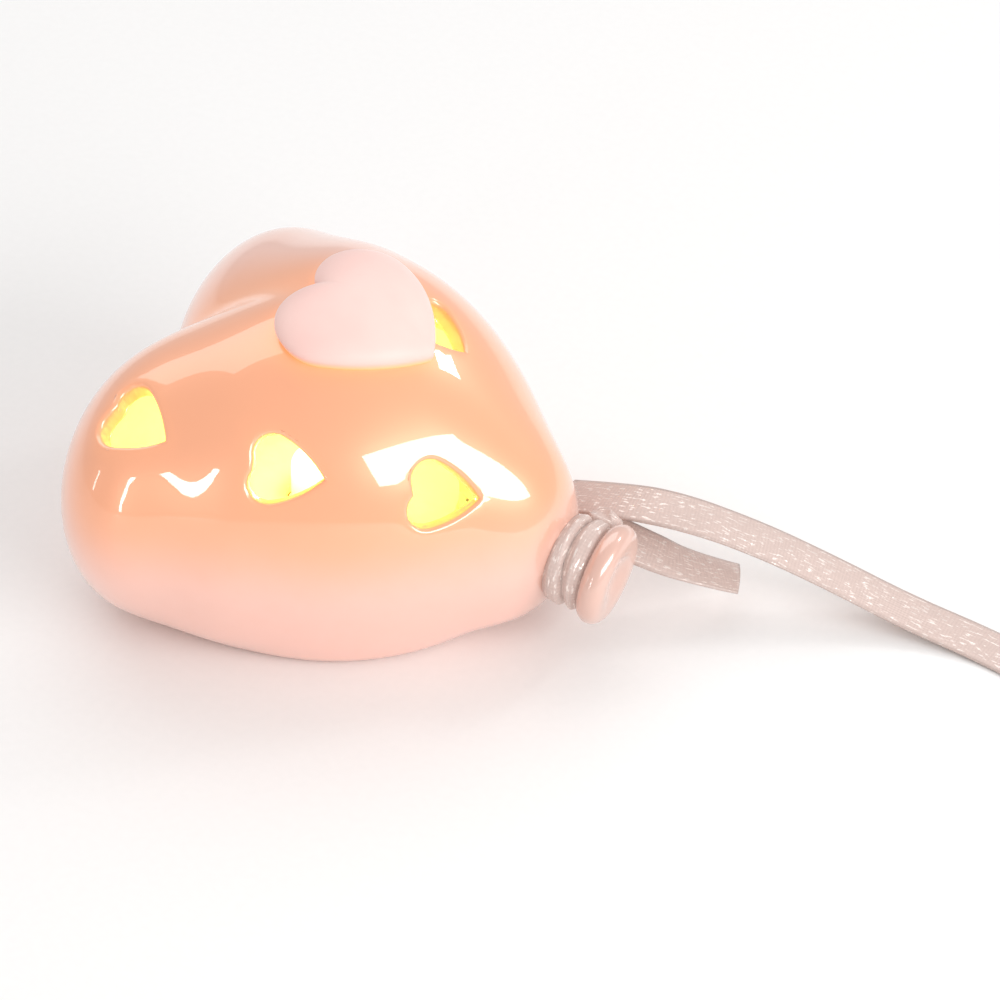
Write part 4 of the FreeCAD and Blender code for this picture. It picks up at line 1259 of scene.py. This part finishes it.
class HEART_LAMP_OT_neck_ribbon(bpy.types.Operator):
    """Makes the bunched turns of satin round the neck, and the knot behind it"""

    bl_idname = "heart_lamp.neck_ribbon"
    bl_label = "Neck ribbon"

    TURNS_WIDTH, TURNS_CLOTH = 4.9 * MM, 5.4 * MM
    KNOT_CLOTH = 2.4 * MM

    def execute(self, context):
        form = HeartForm()
        self.wrap(form)
        self.knot(form)
        return {"FINISHED"}

    def wrap(self, form):
        porcelain, ribbon = settings()[:2]
        base, axis, side = form.neck_base, form.neck_axis, Vector((0, 1, 0))
        other = axis.cross(side)
        end = form.lip_centre - porcelain.lip_thickness / 2 + 0.15 * MM
        start = end - self.TURNS_WIDTH
        around, across = 192, 44
        bm = bmesh.new()
        bmesh.ops.create_grid(bm, x_segments=around, y_segments=across, size=0.5)
        spots = {}
        for vert in bm.verts:
            angle = (vert.co.x + 0.5) * 2 * math.pi
            share = vert.co.y + 0.5
            spots[vert] = (angle * porcelain.neck_radius, (share - 0.5) * self.TURNS_CLOTH)
            drift = 0.16 * math.sin(angle + 0.6) + 0.07 * math.sin(2 * angle + 2.0)
            folds = abs(math.sin(2 * math.pi * (share + 0.5 * drift * math.sin(math.pi * share)))) ** 0.55
            creases = 0.5 + 0.5 * math.sin(7 * math.pi * share + 2.2 * math.sin(angle + 1.1))
            ends = math.sin(math.pi * min(max(share, 0.0), 1.0)) ** 0.30
            bunch = 1 + 0.16 * math.sin(3 * angle + 0.8) * math.sin(5 * share + angle)
            high = (0.25 + 0.95 * folds * ends * bunch + 0.13 * creases * ends) * MM
            sway = 0.28 * MM * math.sin(angle * 2 + 0.5) * math.sin(math.pi * share)
            along = start + (end - start) * share + sway
            radius = porcelain.neck_radius + high
            vert.co = base + axis * along + (side * math.cos(angle) + other * math.sin(angle)) * radius
        lay_cloth(bm, spots)
        bmesh.ops.remove_doubles(bm, verts=list(bm.verts), dist=1e-6)
        bmesh.ops.recalc_face_normals(bm, faces=list(bm.faces))
        wrap = piece("ribbon_turns", bm, bpy.data.materials["woven_satin"], slot="satin",
                     replaced=("ribbon_neck_wrap",))
        modifier(wrap, "SOLIDIFY", thickness=ribbon.thickness, offset=-1.0)

    def knot(self, form):
        low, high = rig.box("ribbon_knot")
        middle = (low + high) / 2
        out = bearing(90, 14)
        across = form.neck_axis
        up = out.cross(across)
        size = (high - low) / 2
        bm = bmesh.new()
        bmesh.ops.create_uvsphere(bm, u_segments=96, v_segments=48, radius=1.0)
        spots = {}
        for vert in bm.verts:
            x, y, z = vert.co
            angle = math.atan2(z, x)
            spots[vert] = (angle * self.KNOT_CLOTH, y * self.KNOT_CLOTH)
            pinch = 0.13 * abs(math.sin(2.5 * angle + 1.3 * y)) ** 0.7 + 0.10 * abs(math.sin(3 * y + angle))
            swell = (1 - pinch) * (abs(x) ** 3 + abs(y) ** 3 + abs(z) ** 3) ** (-1 / 3)
            vert.co = middle + (across * x * size.x + out * y * size.y + up * z * size.z) * swell
        lay_cloth(bm, spots)
        bmesh.ops.recalc_face_normals(bm, faces=list(bm.faces))
        piece("ribbon_tie", bm, bpy.data.materials["woven_satin"], slot="satin", replaced=("ribbon_knot",))


class HEART_LAMP_OT_battery_light(bpy.types.Operator):
    """Gives the battery light's parts their finishes and lights its lamp"""

    bl_idname = "heart_lamp.battery_light"
    bl_label = "Battery light"

    def execute(self, context):
        light = settings()[2]
        white = moulded("white_plastic", (0.80, 0.78, 0.72), 0.34)
        black = moulded("black_plastic", (0.035, 0.035, 0.038), 0.38)
        steel = brushed("plated_steel", (0.66, 0.64, 0.60), 0.22, (300.0, 300.0, 5200.0))
        wire = brushed("tinned_wire", (0.72, 0.72, 0.70), 0.26, (5200.0, 5200.0, 260.0))
        finishes = {
            "led_housing": white,
            "housing_lid": white,
            "battery_door": moulded("door_plastic", (0.83, 0.81, 0.755), 0.30),
            "silicone_ring": moulded("silicone", (0.84, 0.80, 0.76), 0.46, 0.03 * MM, 0.35),
            "slide_switch_case": black,
            "switch_slider": black,
            "lid_screws": steel,
            "positive_contact": steel,
            "negative_contact": steel,
            "switch_terminals": wire,
            "anode_lead": wire,
            "cathode_lead": wire,
            "coin_cell": brushed("cell_steel", (0.60, 0.60, 0.59), 0.20, (180.0, 4200.0, 4200.0)),
            "circuit_board": laminate(),
            "led_lamp": lamp_epoxy(),
            "series_resistor": resistor_body(),
        }
        for node, material in finishes.items():
            mesh = frame["nodes"][node].data
            mesh.materials.clear()
            mesh.materials.append(material)
        glow = bpy.data.lights.new("lamp_glow", "POINT")
        glow.energy = light.power
        glow.color = light.warmth
        glow.shadow_soft_size = 1.5 * MM
        lamp = bpy.data.objects.new("lamp_glow", glow)
        lamp.location = (LAMP_LOW + LAMP_HIGH) / 2
        lamp.location.z = LAMP_HIGH.z + 2.5 * MM
        context.scene.collection.objects.link(lamp)
        return {"FINISHED"}


class HEART_LAMP_PT_panel(bpy.types.Panel):
    """Lists the lamp's pieces and its sizes"""

    bl_idname = "HEART_LAMP_PT_panel"
    bl_label = "Heart Lamp"
    bl_space_type = "VIEW_3D"
    bl_region_type = "UI"
    bl_category = "Heart Lamp"

    def draw(self, context):
        for step in STEPS:
            self.layout.operator(step.bl_idname)
        for group in settings():
            box = self.layout.box()
            for name in group.bl_rna.properties.keys():
                if name not in ("rna_type", "name"):
                    box.prop(group, name)


GROUPS = {
    "heart_lamp_porcelain": HeartLampPorcelain,
    "heart_lamp_ribbon": HeartLampRibbon,
    "heart_lamp_light": HeartLampLight,
    "heart_lamp_stage": HeartLampStage,
}
STEPS = (
    HEART_LAMP_OT_stage,
    HEART_LAMP_OT_tails,
    HEART_LAMP_OT_balloon,
    HEART_LAMP_OT_raised,
    HEART_LAMP_OT_neck_ribbon,
    HEART_LAMP_OT_battery_light,
)


def register():
    for made in (*GROUPS.values(), *STEPS, HEART_LAMP_PT_panel):
        bpy.utils.register_class(made)
    for name, group in GROUPS.items():
        setattr(bpy.types.Scene, name, PointerProperty(type=group))


def unregister():
    for name in GROUPS:
        delattr(bpy.types.Scene, name)
    for made in (HEART_LAMP_PT_panel, *STEPS, *GROUPS.values()):
        bpy.utils.unregister_class(made)


def main():
    register()
    for step in STEPS:
        getattr(bpy.ops.heart_lamp, step.bl_idname.split(".")[1])()
    boxes = {"cad": CAD_BOX, "visual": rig.bounds()}
    boxes = {name: [list(corner) for corner in box] for name, box in boxes.items()}
    with open("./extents.json", "w") as file:
        json.dump(boxes, file)


if __name__ == "__main__":
    main()
